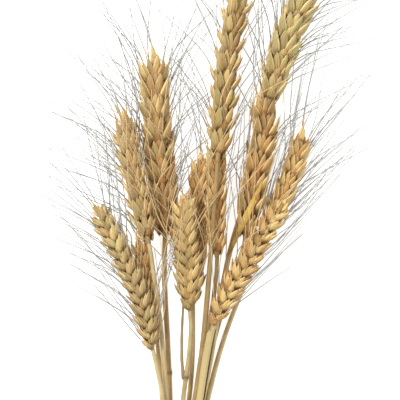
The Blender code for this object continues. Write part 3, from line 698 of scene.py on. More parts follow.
def chaff_material(tone, settings):
    """Dry chaff: painted shade at its root, mottled and veined, with pale edges, keel and tip."""
    nodes = Nodes(f"dry_chaff_{tone}", roughness=0.5, specular=0.35)
    body = tuple(getattr(settings, tone))
    shade = tuple(settings.shade)
    cream = tuple(settings.cream)
    warm = tinted(body, (1.02, 0.80, 0.60))
    green = tinted(body, (0.79, 1.20, 0.94))
    rusty = tinted(body, (0.86, 0.57, 0.42))
    golden = tinted(cream, (0.98, 0.88, 0.62))
    across, up, _ = nodes.uv()
    tint, gold, olive = nodes.attribute("husk")
    side = nodes.from_middle(across)
    mottle = nodes.noise(nodes.here(), 320, 3.0)
    fine = nodes.noise(nodes.here(), 1500, 2.0)
    vein = nodes.veins(across, 4.5)
    colour = nodes.mix(nodes.span(mottle, 0.38, 0.68, 0.0, 0.75), body, warm)
    colour = nodes.mix(nodes.calc("MULTIPLY", nodes.calc("MAXIMUM", olive, 0.0),
                                  nodes.span(mottle, 0.62, 0.36)), colour, green)
    colour = nodes.mix(gold, colour, golden)
    rust = nodes.calc("MAXIMUM", nodes.calc("MULTIPLY", olive, -1.0), 0.0)
    colour = nodes.mix(rust, colour, rusty)
    rim = nodes.span(side, 0.62, 0.95, 0.0, 0.65)
    ridge = nodes.calc("MULTIPLY", nodes.span(side, 0.06, 0.14), nodes.span(side, 0.36, 0.2))
    tip = nodes.span(up, 0.62, 1.0, 0.0, 0.5)
    edge = nodes.calc("MAXIMUM", nodes.calc("MAXIMUM", rim, tip),
                      nodes.calc("MULTIPLY", ridge, 0.3))
    edge = nodes.calc("MULTIPLY_ADD", vein, 0.3, edge)
    edge = nodes.calc("MULTIPLY", edge, nodes.span(rust, 0.0, 1.0, 1.0, 0.4))
    colour = nodes.mix(edge, colour, cream)
    crease = nodes.span(side, 0.10, 0.02, 0.0, 0.45)
    colour = nodes.mix(crease, colour, warm)
    # Painted shade: each husk darkens towards its root, standing in for the shade that falls deep
    # between the overlapping husks.
    deep = nodes.span(up, 0.36, 0.06, 0.0, 0.7)
    colour = nodes.mix(deep, colour, shade)
    colour = nodes.bright(colour, nodes.span(tint, 0.0, 1.0, 0.76, 1.26))
    height = nodes.calc("MULTIPLY_ADD", vein, 0.6, fine)
    return nodes.finish(colour, height, 0.22 * MM)


def awn_material(settings):
    """Awns: pale gold over the ears; away from them painted shade makes them darker and duller,
    darkest at their base and lighter towards their tips.
    """
    nodes = Nodes("dry_awn", roughness=0.45, specular=0.4)
    over, along, tint = nodes.attribute("awn")
    fine = nodes.noise(nodes.here(), 900, 2.0)
    # Painted shade: away from the ears the awns take the darker, duller colour, darkest at their
    # base, for how thin awns look dark against the bright floor.
    colour = nodes.mix(nodes.span(along, 0.1, 1.0), tuple(settings.shaded_grey), lit(settings.shaded_grey, 1.5))
    colour = nodes.mix(over, colour, tuple(settings.pale))
    colour = nodes.bright(colour, nodes.span(tint, 0.0, 1.0, 0.75, 1.25))
    colour = nodes.bright(colour, nodes.span(fine, 0.3, 0.7, 0.88, 1.1))
    return nodes.finish(colour, nodes.calc("ADD", fine, nodes.calc("MULTIPLY", along, 0.1)),
                        0.05 * MM)


def straw_material(name, settings):
    """A straw: long fibres, faint streaks, dark knots and a satin skin."""
    nodes = Nodes(name, roughness=0.38, specular=0.45)
    warm, knot, tint = nodes.attribute("stalk")
    fibre = nodes.noise(nodes.along_rod(14.0), 9.0, 4.0)
    streak = nodes.noise(nodes.along_rod(2.2), 1.6, 2.0)
    blotch = nodes.noise(nodes.here(), 90, 3.0)
    share = nodes.calc("ADD", warm, nodes.span(streak, 0.35, 0.68, -0.28, 0.34))
    share = nodes.calc("MINIMUM", nodes.calc("MAXIMUM", share, 0.0), 1.0)
    colour = nodes.mix(share, tuple(settings.pale), tuple(settings.warm))
    colour = nodes.mix(nodes.span(fibre, 0.50, 0.74, 0.0, 0.42), colour, lit(settings.pale, 1.3))
    colour = nodes.mix(nodes.span(fibre, 0.46, 0.28, 0.0, 0.5), colour, lit(settings.warm, 0.55))
    colour = nodes.mix(knot, colour, tuple(settings.knot))
    colour = nodes.bright(colour, nodes.span(blotch, 0.3, 0.7, 0.86, 1.12))
    colour = nodes.bright(colour, nodes.span(tint, 0.0, 1.0, 0.82, 1.18))
    return nodes.finish(colour, fibre, 0.16 * MM)


def leaf_material(name, body, dark, base=(0.12, 0.0)):
    """A dry leaf: fine veins along it, a pale midrib, browned edges and a browned base."""
    nodes = Nodes(name, roughness=0.42, specular=0.4)
    across, up, _ = nodes.uv()
    side = nodes.from_middle(across)
    vein = nodes.veins(across, 11)
    blotch = nodes.noise(nodes.here(), 240, 3.0)
    colour = nodes.mix(nodes.span(blotch, 0.42, 0.76, 0.0, 0.45), body, dark)
    colour = nodes.mix(nodes.calc("MULTIPLY", vein, 0.3), colour, lit(body, 1.35))
    colour = nodes.mix(nodes.span(side, 0.14, 0.04, 0.0, 0.5), colour, lit(body, 1.4))
    colour = nodes.mix(nodes.span(side, 0.8, 1.0, 0.0, 0.45), colour, dark)
    colour = nodes.mix(nodes.span(up, *base, 0.0, 0.7), colour, dark)
    return nodes.finish(colour, vein, 0.1 * MM)


def twine_material(settings):
    """Rough fibre, in strands that the geometry twists together."""
    nodes = Nodes("twisted_twine", roughness=0.85, specular=0.15)
    fibre = nodes.noise(nodes.along_rod(60.0), 5.0, 4.0)
    blotch = nodes.noise(nodes.here(), 500, 2.0)
    colour = nodes.mix(nodes.span(fibre, 0.3, 0.7), lit(settings.colour, 0.6),
                       lit(settings.colour, 1.45))
    colour = nodes.bright(colour, nodes.span(blotch, 0.3, 0.7, 0.85, 1.15))
    return nodes.finish(colour, fibre, 0.25 * MM)


class Husk:
    """One husk of an ear: its shape, its place, its tints, and its part of the ear."""

    def __init__(self, kind, matrix, height, middle, tints):
        self.kind = kind
        self.matrix = matrix
        self.height = height
        self.middle = middle
        self.tints = tints

    def tip(self):
        length = HUSK_SHAPES[self.kind]["size"][0] * MM
        tip = self.matrix @ Vector((-HUSK_SHAPES[self.kind]["hook"] * length, 0, length * 0.96))
        return Vector((tip.x, tip.y, max(tip.z, 6 * REST)))

    def heading(self):
        """The direction in which the husk's tip points."""
        hook = HUSK_SHAPES[self.kind]["hook"]
        return (self.matrix.to_3x3() @ Vector((-1.6 * hook, 0, 1))).normalized()


def tints_of(ear, u, rust, draw):
    """A husk's own tint, how golden it is, and how green above 0 or rusty below."""
    top = max(0.0, (u - 0.75) / 0.25)
    tint = ear["light"] + draw.gauss(0, 0.2) + 0.2 * top
    gold = ear["gold"] * (0.25 + 1.4 * top ** 1.2) + draw.uniform(-0.18, 0.26)
    green = ear["green"] * draw.uniform(0.3, 2.0) * (1 - 0.6 * top)
    rust += draw.choice((0, 0, 0, 0.3, 0.6, 0.9)) * (1 - top)
    rust += ear.get("foot", 0.0) * max(0.0, 1 - u / 0.4)
    rust *= 1 - 0.6 * min(abs(ear["green"]), 1.5)
    if rust > 0.15:
        green = -rust * draw.uniform(0.6, 1.1)
        gold *= max(1 - rust, 0)
    return tuple(np.clip((tint, gold, green), (0, 0, -1), 1))


def plan_spikelet(ear, frame_of_ear, u, side, size, draw):
    """The husks of one spikelet, on one side of the ear."""
    middle, along, row, fan = frame_of_ear.at(u)
    row = side * row
    sway = draw.uniform(-3, 3)
    husks = []
    both = [(kind, root, lean, facing, rust, flip) for kind, root, lean, facing, rust in SPIKELET
            for flip in (1, -1)]
    for kind, root, lean, facing, rust, flip in both + [(*husk, 1) for husk in MIDDLE_HUSKS]:
        lean_row = math.tan(math.radians(lean[0] + draw.uniform(-5, 5)))
        spread = math.tan(math.radians(flip * lean[1] * ear["spread"] + sway
                                       + draw.uniform(-5.5, 5.5)))
        across = flip * root[1] + draw.uniform(-0.2, 0.2)
        start = middle + (root[0] * row + across * fan + root[2] * along) * MM * size
        outward = facing[0] * row + (flip * facing[1] + draw.uniform(-0.2, 0.2)) * fan
        matrix = turned(along + lean_row * row + spread * fan, outward, start)
        scale = Matrix.Scale(size * draw.uniform(0.92, 1.07), 4)
        husks.append(Husk(kind, matrix @ scale, u, middle, tints_of(ear, u, rust, draw)))
    return husks


def plan_husks(name, settings):
    """Every husk of one ear, the same at each call."""
    ear = EARS[name]
    frame_of_ear = EarFrame(ear)
    draw = random.Random(f"husks of {name}")
    husks = []
    for index, u in enumerate(frame_of_ear.heights):
        size = frame_of_ear.size(u) * settings.fullness * draw.uniform(0.95, 1.06)
        husks += plan_spikelet(ear, frame_of_ear, u, 1 if index % 2 else -1, size, draw)
    middle, along, row, fan = frame_of_ear.at(1.0)
    size = frame_of_ear.size(1.0) * settings.fullness
    for kind, root, lean, facing, share, rust in LAST_SPIKELET:
        start = middle - along * LAST_SINK * size + root * row * MM * size
        lean_row = math.tan(math.radians(lean + draw.uniform(-3, 3)))
        turn = draw.uniform(-0.25, 0.25)
        matrix = turned(along + lean_row * row + turn * 0.3 * fan,
                        facing * row + (0.8 - abs(facing)) * fan, start)
        husks.append(Husk(kind, matrix @ Matrix.Scale(size * share * 1.2, 4), 1.0, middle,
                          tints_of(ear, 1.0, rust, draw)))
    return husks


def shape_husk(kind):
    """One husk, shaped from a ball: boat-like, keeled outside, flat inside, pointed at its tip."""
    form = HUSK_SHAPES[kind]
    length, width, depth = (part * MM for part in form["size"])
    deselect()
    bpy.ops.mesh.primitive_uv_sphere_add(segments=HUSK_SEGMENTS, ring_count=HUSK_RINGS, radius=1)
    husk = bpy.context.object
    husk.name = f"husk_{kind}"
    edit(husk)
    bpy.ops.mesh.select_all(action="DESELECT")
    heights = [-math.cos(math.pi * k / HUSK_RINGS) for k in range(HUSK_RINGS + 1)]
    goals = [(0.0, 1.0), *form["rings"], (1.0, 1.0)]
    # The rings move far above the ball first, so that none is picked twice.
    for ball, (rise, share) in zip(heights, goals):
        pick_points(husk, lambda co, ball=ball: abs(co.z - ball) < 0.01)
        reach = max(math.sqrt(max(1 - ball * ball, 0)), 0.01)
        bpy.ops.transform.resize(value=(depth / 2 * share / reach, width / 2 * share / reach, 1),
                                 center_override=(0, 0, 0))
        bpy.ops.transform.translate(value=(0, 0, 10 + rise * length - ball))
    pick_points(husk, lambda co: co.x < -0.01 * depth)
    bpy.ops.transform.resize(value=(0.35, 1, 1), center_override=(0, 0, 0))
    pick_points(husk, lambda co: co.x > 0.1 * depth and abs(co.y) < 0.01 * width)
    bpy.ops.transform.translate(value=(form["keel"] * depth / 2, 0, 0))
    for rise, _ in goals[2:]:
        pick_points(husk, lambda co, rise=rise: abs(co.z - 10 - rise * length) < 0.01 * length)
        bpy.ops.transform.translate(value=(-form["hook"] * length * rise * rise, 0, 0))
    bpy.ops.mesh.select_all(action="SELECT")
    bpy.ops.transform.translate(value=(0, 0, -10))
    deselect()
    smooth(husk)
    places = point_places(husk)
    shares = np.interp(places[:, 2] / length, [g[0] for g in goals], [g[1] for g in goals])
    across = 0.5 + 0.5 * np.clip(places[:, 1] / (width / 2 * shares), -1, 1)
    write_uv(husk, np.stack([across, places[:, 2] / length], 1))
    write_attribute(husk, "husk", np.zeros((len(places), 3)))
    return husk


def copy_husk(model, husk):
    """A copy of a husk's shape, with its own mesh, set on the ear and pressed by the surface."""
    copy = model.copy()
    copy.data = model.data.copy()
    copy.data.transform(husk.matrix)
    bpy.context.scene.collection.objects.link(copy)
    places = point_places(copy)
    lowest = places[:, 2].min()
    if lowest < REST:
        rise = husk.middle.z
        share = (rise - REST) / (rise - lowest)
        pressed = REST + (places[:, 2] - lowest) * share
        places[:, 2] = np.where(places[:, 2] < rise, pressed, places[:, 2])
        copy.data.vertices.foreach_set("co", places.ravel())
    write_attribute(copy, "husk", np.tile(husk.tints, (len(copy.data.vertices), 1)))
    return copy


def add_rachis(name):
    """The ear's middle stem, which steps from side to side at each joint."""
    frame_of_ear = EarFrame(EARS[name])
    middle, along, _, _ = frame_of_ear.at(0)
    points, radii = [middle - along * 0.6 * MM], [1.25 * MM]
    for index, u in enumerate([*frame_of_ear.heights, 0.985]):
        middle, _, row, _ = frame_of_ear.at(u)
        side = 1 if index % 2 else -1
        points.append(middle + row * side * 0.35 * MM)
        radii.append((1.4 + 1.1 * min(1.0, 5 * u)) * MM * (1 - 0.5 * u))
    rachis = add_rods("rachis", [(points, radii)], 1)
    count = len(rachis.data.vertices)
    # The rachis sits low on the husk map, so part of the husks' painted root shade darkens it too.
    write_uv(rachis, np.tile((0.3, 0.20), (count, 1)))
    write_attribute(rachis, "husk", np.tile((0.45, 0.0, 0.1), (count, 1)))
    return rachis


def make_husks(settings):
    """The rachis and husks of every ear, one piece an ear."""
    models = {kind: shape_husk(kind) for kind in HUSK_SHAPES}
    finishes = {tone: chaff_material(tone, settings) for tone in ("olive", "gold", "rust")}
    for name, ear in EARS.items():
        parts = [add_rachis(name)]
        parts += [copy_husk(models[husk.kind], husk) for husk in plan_husks(name, settings)]
        chaff = join(f"ear_{name}_chaff", parts)
        dress(chaff, finishes[ear["chaff"]], f"ear_{ear['chaff']}", f"ear_{name}")
    for model in models.values():
        bpy.data.objects.remove(model)


def node_corners(name):
    """The corners of a CAD node's triangles."""
    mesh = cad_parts[name].data
    places = point_places(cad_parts[name])
    corners = np.zeros(len(mesh.loops), np.int32)
    mesh.loops.foreach_get("vertex_index", corners)
    return places[corners].reshape(-1, 3, 3).astype(float)


def cut(corners, y):
    """Where a plane across Y cuts the triangles: two points for each."""
    low = corners[:, :, 1] < y
    crossed = low.any(1) & ~low.all(1)
    found = []
    for triangle, below in zip(corners[crossed], low[crossed]):
        ends = []
        for a, b in ((0, 1), (1, 2), (2, 0)):
            if below[a] != below[b]:
                share = (y - triangle[a, 1]) / (triangle[b, 1] - triangle[a, 1])
                ends.append(triangle[a] + share * (triangle[b] - triangle[a]))
        found.append(ends)
    return np.array(found)


def cut_middle(ends):
    """The middle of a cut's outline."""
    lengths = np.linalg.norm(ends[:, 1] - ends[:, 0], axis=1)
    return (ends.mean(1) * lengths[:, None]).sum(0) / lengths.sum()


def rod_line(name, step):
    """The middle line of a CAD rod, from its top down, evened out between its bends."""
    corners = node_corners(name)
    top = corners[:, :, 1].max()
    bottom = corners[:, :, 1].min()
    heights = np.linspace(top - END_CUT, bottom + END_CUT, max(round((top - bottom) / step), 4))
    middles = np.array([cut_middle(cut(corners, y)) for y in heights])
    even = middles.copy()
    for k in range(1, len(middles) - 1):
        reach = min(k, len(middles) - 1 - k, EVEN_SPAN)
        even[k] = middles[k - reach:k + reach + 1].mean(0)
    first = even[0] + (even[0] - even[1]) * (END_REACH / (even[0, 1] - even[1, 1]))
    last = even[-1] + (even[-1] - even[-2]) * (END_REACH / (even[-2, 1] - even[-1, 1]))
    return [Vector(p) for p in (first, *even, last)]


def knot_places(name):
    """Where a straw's knots lie along the bunch."""
    return [(height - ORIGIN.y) * MM for height in STRAWS[name]["knots"]]


def straw_rod(name, settings):
    """The points and radii of a straw, with rings close together at its knots."""
    line = rod_line(f"straw_{name}", CUT_STEP)
    knots = knot_places(name)
    heights = [p.y for p in line
               if all(abs(p.y - k) > KNOT_CLEARANCE * KNOT_HALF_HEIGHT for k in knots)]
    for knot in knots:
        heights += [knot + share * KNOT_HALF_HEIGHT for share in KNOT_RINGS]
    heights.sort(reverse=True)
    points = [at_height(line, y) for y in heights]
    neck = STRAWS[name].get("neck", settings.neck)
    radii = []
    for y in heights:
        radius = neck + (settings.radius - neck) * min(1.0, (heights[0] - y) / NECK_LENGTH)
        swell = max([math.exp(-((y - k) / KNOT_HALF_HEIGHT) ** 2) for k in knots])
        radii.append(radius * (1 + (settings.swell - 1) * swell))
    return points, radii


def hollow_end(straw, points):
    """Opens a straw's cut end: its cap is inset and pushed in along the straw."""
    end = min(p.y for p in points)
    edit(straw)
    bpy.ops.mesh.select_all(action="DESELECT")
    bpy.ops.mesh.select_mode(type="FACE")
    shape = bmesh.from_edit_mesh(straw.data)
    for face in shape.faces:
        face.select_set(face.normal.y < -0.8 and face.calc_center_median().y < end + 1 * MM)
    bmesh.update_edit_mesh(straw.data)
    bpy.ops.mesh.dissolve_faces()
    bpy.ops.mesh.inset(thickness=STRAW_WALL)
    inward = (points[-2] - points[-1]).normalized() * HOLLOW_DEPTH * MM
    bpy.ops.mesh.extrude_region_move(TRANSFORM_OT_translate={"value": tuple(inward)})
    bpy.ops.mesh.select_mode(type="VERT")
    deselect()


def make_straws(settings):
    """Every straw, from its ear to its hollow cut end."""
    finish = straw_material("dry_straw", settings)
    for name, straw in STRAWS.items():
        draw = random.Random(f"straw of {name}")
        points, radii = straw_rod(name, settings)
        stalk = add_rods(f"straw_{name}_stalk", [(points, radii)], 4)
        knots = knot_places(name)
        tint = straw.get("light", draw.uniform(0.3, 0.7))
        values = []
        for point in points:
            near = max(math.exp(-((point.y - k) / (0.8 * KNOT_HALF_HEIGHT)) ** 2) for k in knots)
            values.append((straw["warm"], 0.85 * near, tint))
        mark_rods(stalk, "stalk", [(points, radii)], values)
        hollow_end(stalk, points)
        smooth(stalk, 50)
        dress(stalk, finish, "straw", f"straw_{name}")


def grid(name, columns, rows, spot):
    """A sheet of columns and rows, each point at spot(share across, share up)."""
    deselect()
    bpy.ops.mesh.primitive_grid_add(x_subdivisions=columns, y_subdivisions=rows, size=1)
    sheet = bpy.context.object
    sheet.name = name
    places = point_places(sheet)
    shares = places[:, :2] + 0.5
    moved = np.array([tuple(spot(u, v)) for u, v in shares], np.float32)
    sheet.data.vertices.foreach_set("co", moved.ravel())
    sheet.data.update()
    write_uv(sheet, shares)
    return sheet


def thicken(sheet, thickness):
    choose(sheet)
    solid = sheet.modifiers.new("thickness", "SOLIDIFY")
    solid.thickness = thickness
    solid.offset = 0
    solid.use_even_offset = True
    bpy.ops.object.modifier_apply(modifier="thickness")
    edit(sheet)
    bpy.ops.mesh.select_all(action="SELECT")
    bpy.ops.mesh.normals_make_consistent(inside=False)
    deselect()
    smooth(sheet, 60)


def make_flat_leaf(finish):
    """The narrow yellow blade: folded along its midrib, with wavy edges and a slim tip."""
    corners = node_corners("leaf_flat")
    low = corners[:, :, 1].min() + 0.3 * MM
    high = corners[:, :, 1].max() - 0.3 * MM
    rows = []
    for y in np.linspace(low, high, 24):
        ends = cut(corners, y).reshape(-1, 3)
        rows.append((ends[:, 0].min(), ends[:, 0].max(), ends[:, 2].max()))
    rows = np.array(rows)
    for _ in range(2):
        rows[1:-1] = (rows[:-2] + 2 * rows[1:-1] + rows[2:]) / 4
    heights = np.linspace(low, high, len(rows))

    def spot(u, v):
        y = low + (high - low) * v
        left, right, top = (np.interp(y, heights, rows[:, k]) for k in range(3))
        side = 2 * u - 1
        wave = 0.10 * MM * math.sin(19 * v + 2 * side)
        fold = 0.45 * MM * abs(side) ** 1.4
        return (left + (right - left) * u, y + wave, top - 0.15 * MM - fold + wave)

    leaf = grid("leaf_flat_blade", 8, 46, spot)
    thicken(leaf, 0.22 * MM)
    dress(leaf, finish, "leaf", "leaf_flat")


def make_rolled_leaf(finish):
    """The thin leaf, dried into a loose roll that narrows to its tip."""
    line = rod_line("leaf_rolled", 2.5 * MM)[::-1]
    knot = knot_places("centre_front")[0]
    foot = min(rod_line("straw_centre_front", CUT_STEP), key=lambda p: abs(p.y - knot))
    middle = smooth_line([foot + ROLLED_FOOT, *(p + ROLLED_SHIFT for p in line[1:-2])], 40)

    def spot(u, v):
        centre, along = along_line(middle, v)
        flat = along.cross(UP).normalized()
        rise = flat.cross(along)
        angle = math.radians(40 + 500 * u + 80 * v)
        radius = (0.5 + 0.62 * u) * MM * (1 - 0.4 * v) * (1 + 0.06 * math.sin(31 * v))
        return centre + (math.cos(angle) * flat + math.sin(angle) * rise) * radius

    leaf = grid("leaf_rolled_blade", 22, 60, spot)
    thicken(leaf, 0.11 * MM)
    dress(leaf, finish, "straw", "leaf_rolled")


def make_sheath(name, finish, low, high, radius, start, sweep, draw):
    """A dry sheath round a straw, split along one side and torn at its top."""
    line = rod_line(f"straw_{name}", CUT_STEP)
    tears = [draw.uniform(0, 1) for _ in range(40)]

    def spot(u, v):
        torn = tears[int(u * 39)] * 3.5 * MM + (1 - (2 * u - 1) ** 2) * 4 * MM
        y = (low - ORIGIN.y) * MM + ((high - low) * MM - torn) * v
        angle = math.radians(start + sweep * u)
        loose = 1 + 0.10 * v * math.sin(7 * v + 5 * u) + 0.30 * max(0.0, v - 0.8) * abs(2 * u - 1)
        reach = radius * (0.82 + 0.18 * min(1.0, 3 * v)) * loose
        out = Vector((math.cos(angle) * reach, 0, math.sin(angle) * reach * 0.8))
        return at_height(line, y) + out

    sheath = grid(f"straw_{name}_sheath", 26, 70, spot)
    thicken(sheath, 0.16 * MM)
    dress(sheath, finish, "straw")


def make_leaves(settings):
    """The flat leaf, the rolled leaf and the dry sheath of the right front straw."""
    make_flat_leaf(leaf_material("dry_leaf", tuple(settings.leaf), LEAF_BROWN, (0.42, 0.22)))
    make_rolled_leaf(leaf_material("dry_rolled_leaf", ROLLED_LEAF, ROLLED_BROWN))
    sheath = leaf_material("dry_sheath", tinted(settings.pale, SHEATH_TINT), SHEATH_BROWN)
    make_sheath(finish=sheath, draw=random.Random("sheath"), **SHEATH)


class Clearance:
    """How deep points lie in the ears and straws that aren't their own, in plan and in all."""

    def __init__(self, settings):
        spots, reach, owners = [], [], []
        for index, (name, ear) in enumerate(EARS.items()):
            ear_frame = EarFrame(ear)
            for step in range(25):
                spots.append(tuple(ear_frame.at(step / 24)[0]))
                reach.append(EAR_RADIUS * ear_frame.size(step / 24))
                owners.append(index)
            line = rod_line(f"straw_{name}", CUT_STEP)
            for point in line:
                spots.append(tuple(point))
                reach.append(settings.radius + 0.6 * MM)
                owners.append(100 + index)
        self.spots = np.array(spots)
        self.reach = np.array(reach)
        self.owners = np.array(owners)
        self.leaf = np.array(rod_line("leaf_flat", 1.5 * MM))

    def depth(self, points, own):
        """How far each line of points runs in or over what isn't its own, added up."""
        other = self.owners != own
        gaps = np.linalg.norm(points[:, :, None, :] - self.spots[other], axis=3)
        ears = other & (self.owners < 100)
        plan = np.linalg.norm(points[:, :, None, :2] - self.spots[ears, :2], axis=3)
        crossed = np.clip(self.reach[ears] - plan, 0, None).max(2).sum(1)
        hidden = np.linalg.norm(points[:, :, None, :2] - self.leaf[:, :2], axis=3).min(2)
        return (np.clip(self.reach[other] - gaps, 0, None).sum((1, 2))
                + OVER_EAR_COST * crossed
                + OVER_LEAF_COST * np.clip(LEAF_ROOM - hidden, 0, None).sum(1))

    def over(self, points):
        """How far each point of one line is over an ear or straw, seen from above: 1 to 0."""
        gaps = np.linalg.norm(points[:, None, :2] - self.spots[:, :2], axis=2)
        room = (gaps - self.reach).min(1)
        return np.clip(-room / (1.5 * MM), 0, 1)


def plan_awn(husk, name, ear_frame, own, clearance, settings, draw):
    """One awn's line from a husk's tip: the clearest of several tries."""
    along = ear_frame.at(husk.height)[1]
    start = husk.tip()
    first = husk.heading()
    outward = first - first.dot(along) * along
    outward = outward.normalized() if outward.length > 0.05 else ear_frame.at(1.0)[2]
    base = AWN_BASE_LEAN + (AWN_TIP_LEAN - AWN_BASE_LEAN) * husk.height ** 2.2
    base *= EARS[name].get("fan", 1.0)
    sweep = Vector(EARS[name].get("sweep", (0, 0, 0)))
    length = settings.length * draw.uniform(0.82, 1.12)
    tries = []
    for attempt in range(AWN_TRIES):
        wild = attempt / AWN_TRIES
        swing = math.radians(draw.gauss(0, AWN_SWING + AWN_WILD_SWING * wild))
        lean = math.radians(min(base * draw.uniform(0.5, 1.2 + 0.3 * wild), AWN_MOST_LEAN))
        around = Matrix.Rotation(swing, 3, along) @ outward
        goal = math.cos(lean) * along + math.sin(lean) * around + draw.random() * sweep
        bend = Vector([draw.gauss(0, most) for most in AWN_BEND])
        line = [start]
        for step in range(AWN_POINTS - 1):
            t = step / (AWN_POINTS - 2)
            way = first.lerp(goal, min(1.0, 0.25 + 2.6 * t)) + bend * t * t
            line.append(line[-1] + way.normalized() * length / (AWN_POINTS - 1))
        tries.append([tuple(p) for p in line])
    tries = np.array(tries)
    low, high = np.array(CAD_BOX[0]) - AWN_ROOM, np.array(CAD_BOX[1]) + AWN_ROOM
    beyond = np.clip(tries - high, 0, None)
    beyond[:, :, :2] += np.clip(low - tries, 0, None)[:, :, :2]
    faults = clearance.depth(tries[:, 1:], own) / MM + BEYOND_COST * beyond.sum((1, 2)) / MM
    faults += FLOOR_COST * np.clip(AWN_FLOOR - tries[:, :, 2], 0, None).sum(1) / MM
    faults += LATE_COST * np.arange(AWN_TRIES)
    best = tries[int(np.argmin(faults))]
    best[:, 2] = np.maximum(best[:, 2], AWN_FLOOR + 0.15 * MM * draw.random())
    return best


def make_awns(settings, husk_settings, straw_settings):
    """The long awns of every ear, one piece an ear."""
    finish = awn_material(settings)
    clearance = Clearance(straw_settings)
    for own, (name, ear) in enumerate(EARS.items()):
        draw = random.Random(f"awns of {name}")
        ear_frame = EarFrame(ear)
        lines, values = [], []
        for husk in plan_husks(name, husk_settings):
            along = ear_frame.at(husk.height)[1]
            outward = husk.heading().cross(along)
            flat = abs(outward.z) / outward.length
            chance = (AWN_CHANCE + FLAT_CHANCE * flat ** 2) * ear["awns"]
            if husk.height == 1.0:
                chance = TIP_CHANCE
            if husk.kind == "floret":
                chance *= ear.get("more", 0.0)
            if husk.kind not in ("lemma", "floret") or draw.random() > chance:
                continue
            points = plan_awn(husk, name, ear_frame, own, clearance, settings, draw)
            # Seen from above, points away from the ears get the awns' painted shade.
            over = clearance.over(points)
            shares = np.linspace(0, 1, AWN_POINTS)
            radii = settings.thickness / 2 * (1 - AWN_TAPER * shares)
            tint = draw.random()
            lines.append(([Vector(p) for p in points], radii))
            values += [(o, s, tint) for o, s in zip(over, shares)]
        awns = add_rods(f"ear_{name}_awns", lines, 0)
        mark_rods(awns, "awn", lines, values)
        dress(awns, finish, f"ear_{ear['chaff']}", f"ear_{name}")


def ring_point(angle, slots):
    """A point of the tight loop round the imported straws, in the X and Z plane."""
    ux, uz = math.cos(angle), math.sin(angle)
    x, z = max(slots, key=lambda s: s[0] * ux + s[1] * uz)
    return x + ux * TIE_SPARE, z + uz * TIE_SPARE


def twist(line, radius, phase):
    """One strand that winds round a line."""
    turned_points = []
    normal = UP
    run = 0.0
    for k, point in enumerate(line):
        along = (line[min(k + 1, len(line) - 1)] - line[max(k - 1, 0)]).normalized()
        normal = (normal - normal.dot(along) * along).normalized()
        if k:
            run += (point - line[k - 1]).length
        angle = phase + math.tau * run / STRAND_PITCH
        out = math.cos(angle) * normal + math.sin(angle) * along.cross(normal)
        turned_points.append(point + out * STRAND_OFFSET)
    return turned_points, [radius] * len(line)


def random_way(draw):
    return Vector((draw.gauss(0, 1), draw.gauss(0, 1), draw.gauss(0, 1)))


def make_twine(settings):
    """Four turns of three-strand twine, drawn tight round the straws, with a knot on top."""
    tie_x = TIE_X - ORIGIN.x * MM
    tie_y = TIE_Y - ORIGIN.y * MM
    slots = []
    for row in range(TIE_ROWS):
        for column in range(TIE_COLUMNS):
            across = column - 1.5 - (0.5 if row == 1 else 0.0)
            slots.append((tie_x + across * STRAW_SPACING,
                          LOWEST_STRAW + row * STRAW_SPACING * math.sqrt(0.75)))
    start_y = tie_y - TWINE_PITCH * TWINE_TURNS / 2
    wraps = []
    for step in range(TWINE_TURNS * TURN_STEPS + 1):
        turn = step / TURN_STEPS
        x, z = ring_point(math.radians(90) + turn * math.tau, slots)
        wraps.append(Vector((x, start_y + turn * TWINE_PITCH, z)))
    crown = Vector((tie_x, tie_y, max(z for _, z in slots) + TIE_SPARE))
    knot = []
    for step in range(KNOT_STEPS + 1):
        t = KNOT_GAP + (math.tau - 2 * KNOT_GAP) * step / KNOT_STEPS
        knot.append(crown + Vector((
            1.15 * (math.sin(t) + 1.5 * math.sin(2 * t)),
            1.75 * (math.cos(t) - 1.5 * math.cos(2 * t)) - 0.4,
            1.6 - 0.95 * math.sin(3 * t))) * MM)
    ends = []
    for side in (-1, 1):
        ends.append([crown + Vector((side * x, side * y, z)) * MM for x, y, z in LOOSE_END])
    strands = []
    for line, count in ((wraps, 260), (knot, 120), (ends[0], 60), (ends[1], 60)):
        fine = smooth_line(line, count)
        for ply in range(3):
            strands.append(twist(fine, settings.strand, ply * math.tau / 3))
    draw = random.Random("fuzz")
    loose = smooth_line(wraps, 200) + smooth_line(ends[0], 40) + smooth_line(ends[1], 40)
    for _ in range(FUZZ_COUNT):
        base = draw.choice(loose)
        way = random_way(draw).normalized()
        bend = random_way(draw) * 0.5
        fuzz = [base + (way * s + bend * s * s) * 1.5 * MM + way * 0.7 * MM for s in FUZZ_SHARES]
        strands.append((fuzz, FUZZ_RADII))
    strands = [(points, radii) for points, radii in strands
               if min(p.z for p in points) > 0.2 * MM]
    tie = add_rods("tie_twine_strands", strands, 1)
    dress(tie, twine_material(settings), "twine", "tie_twine")


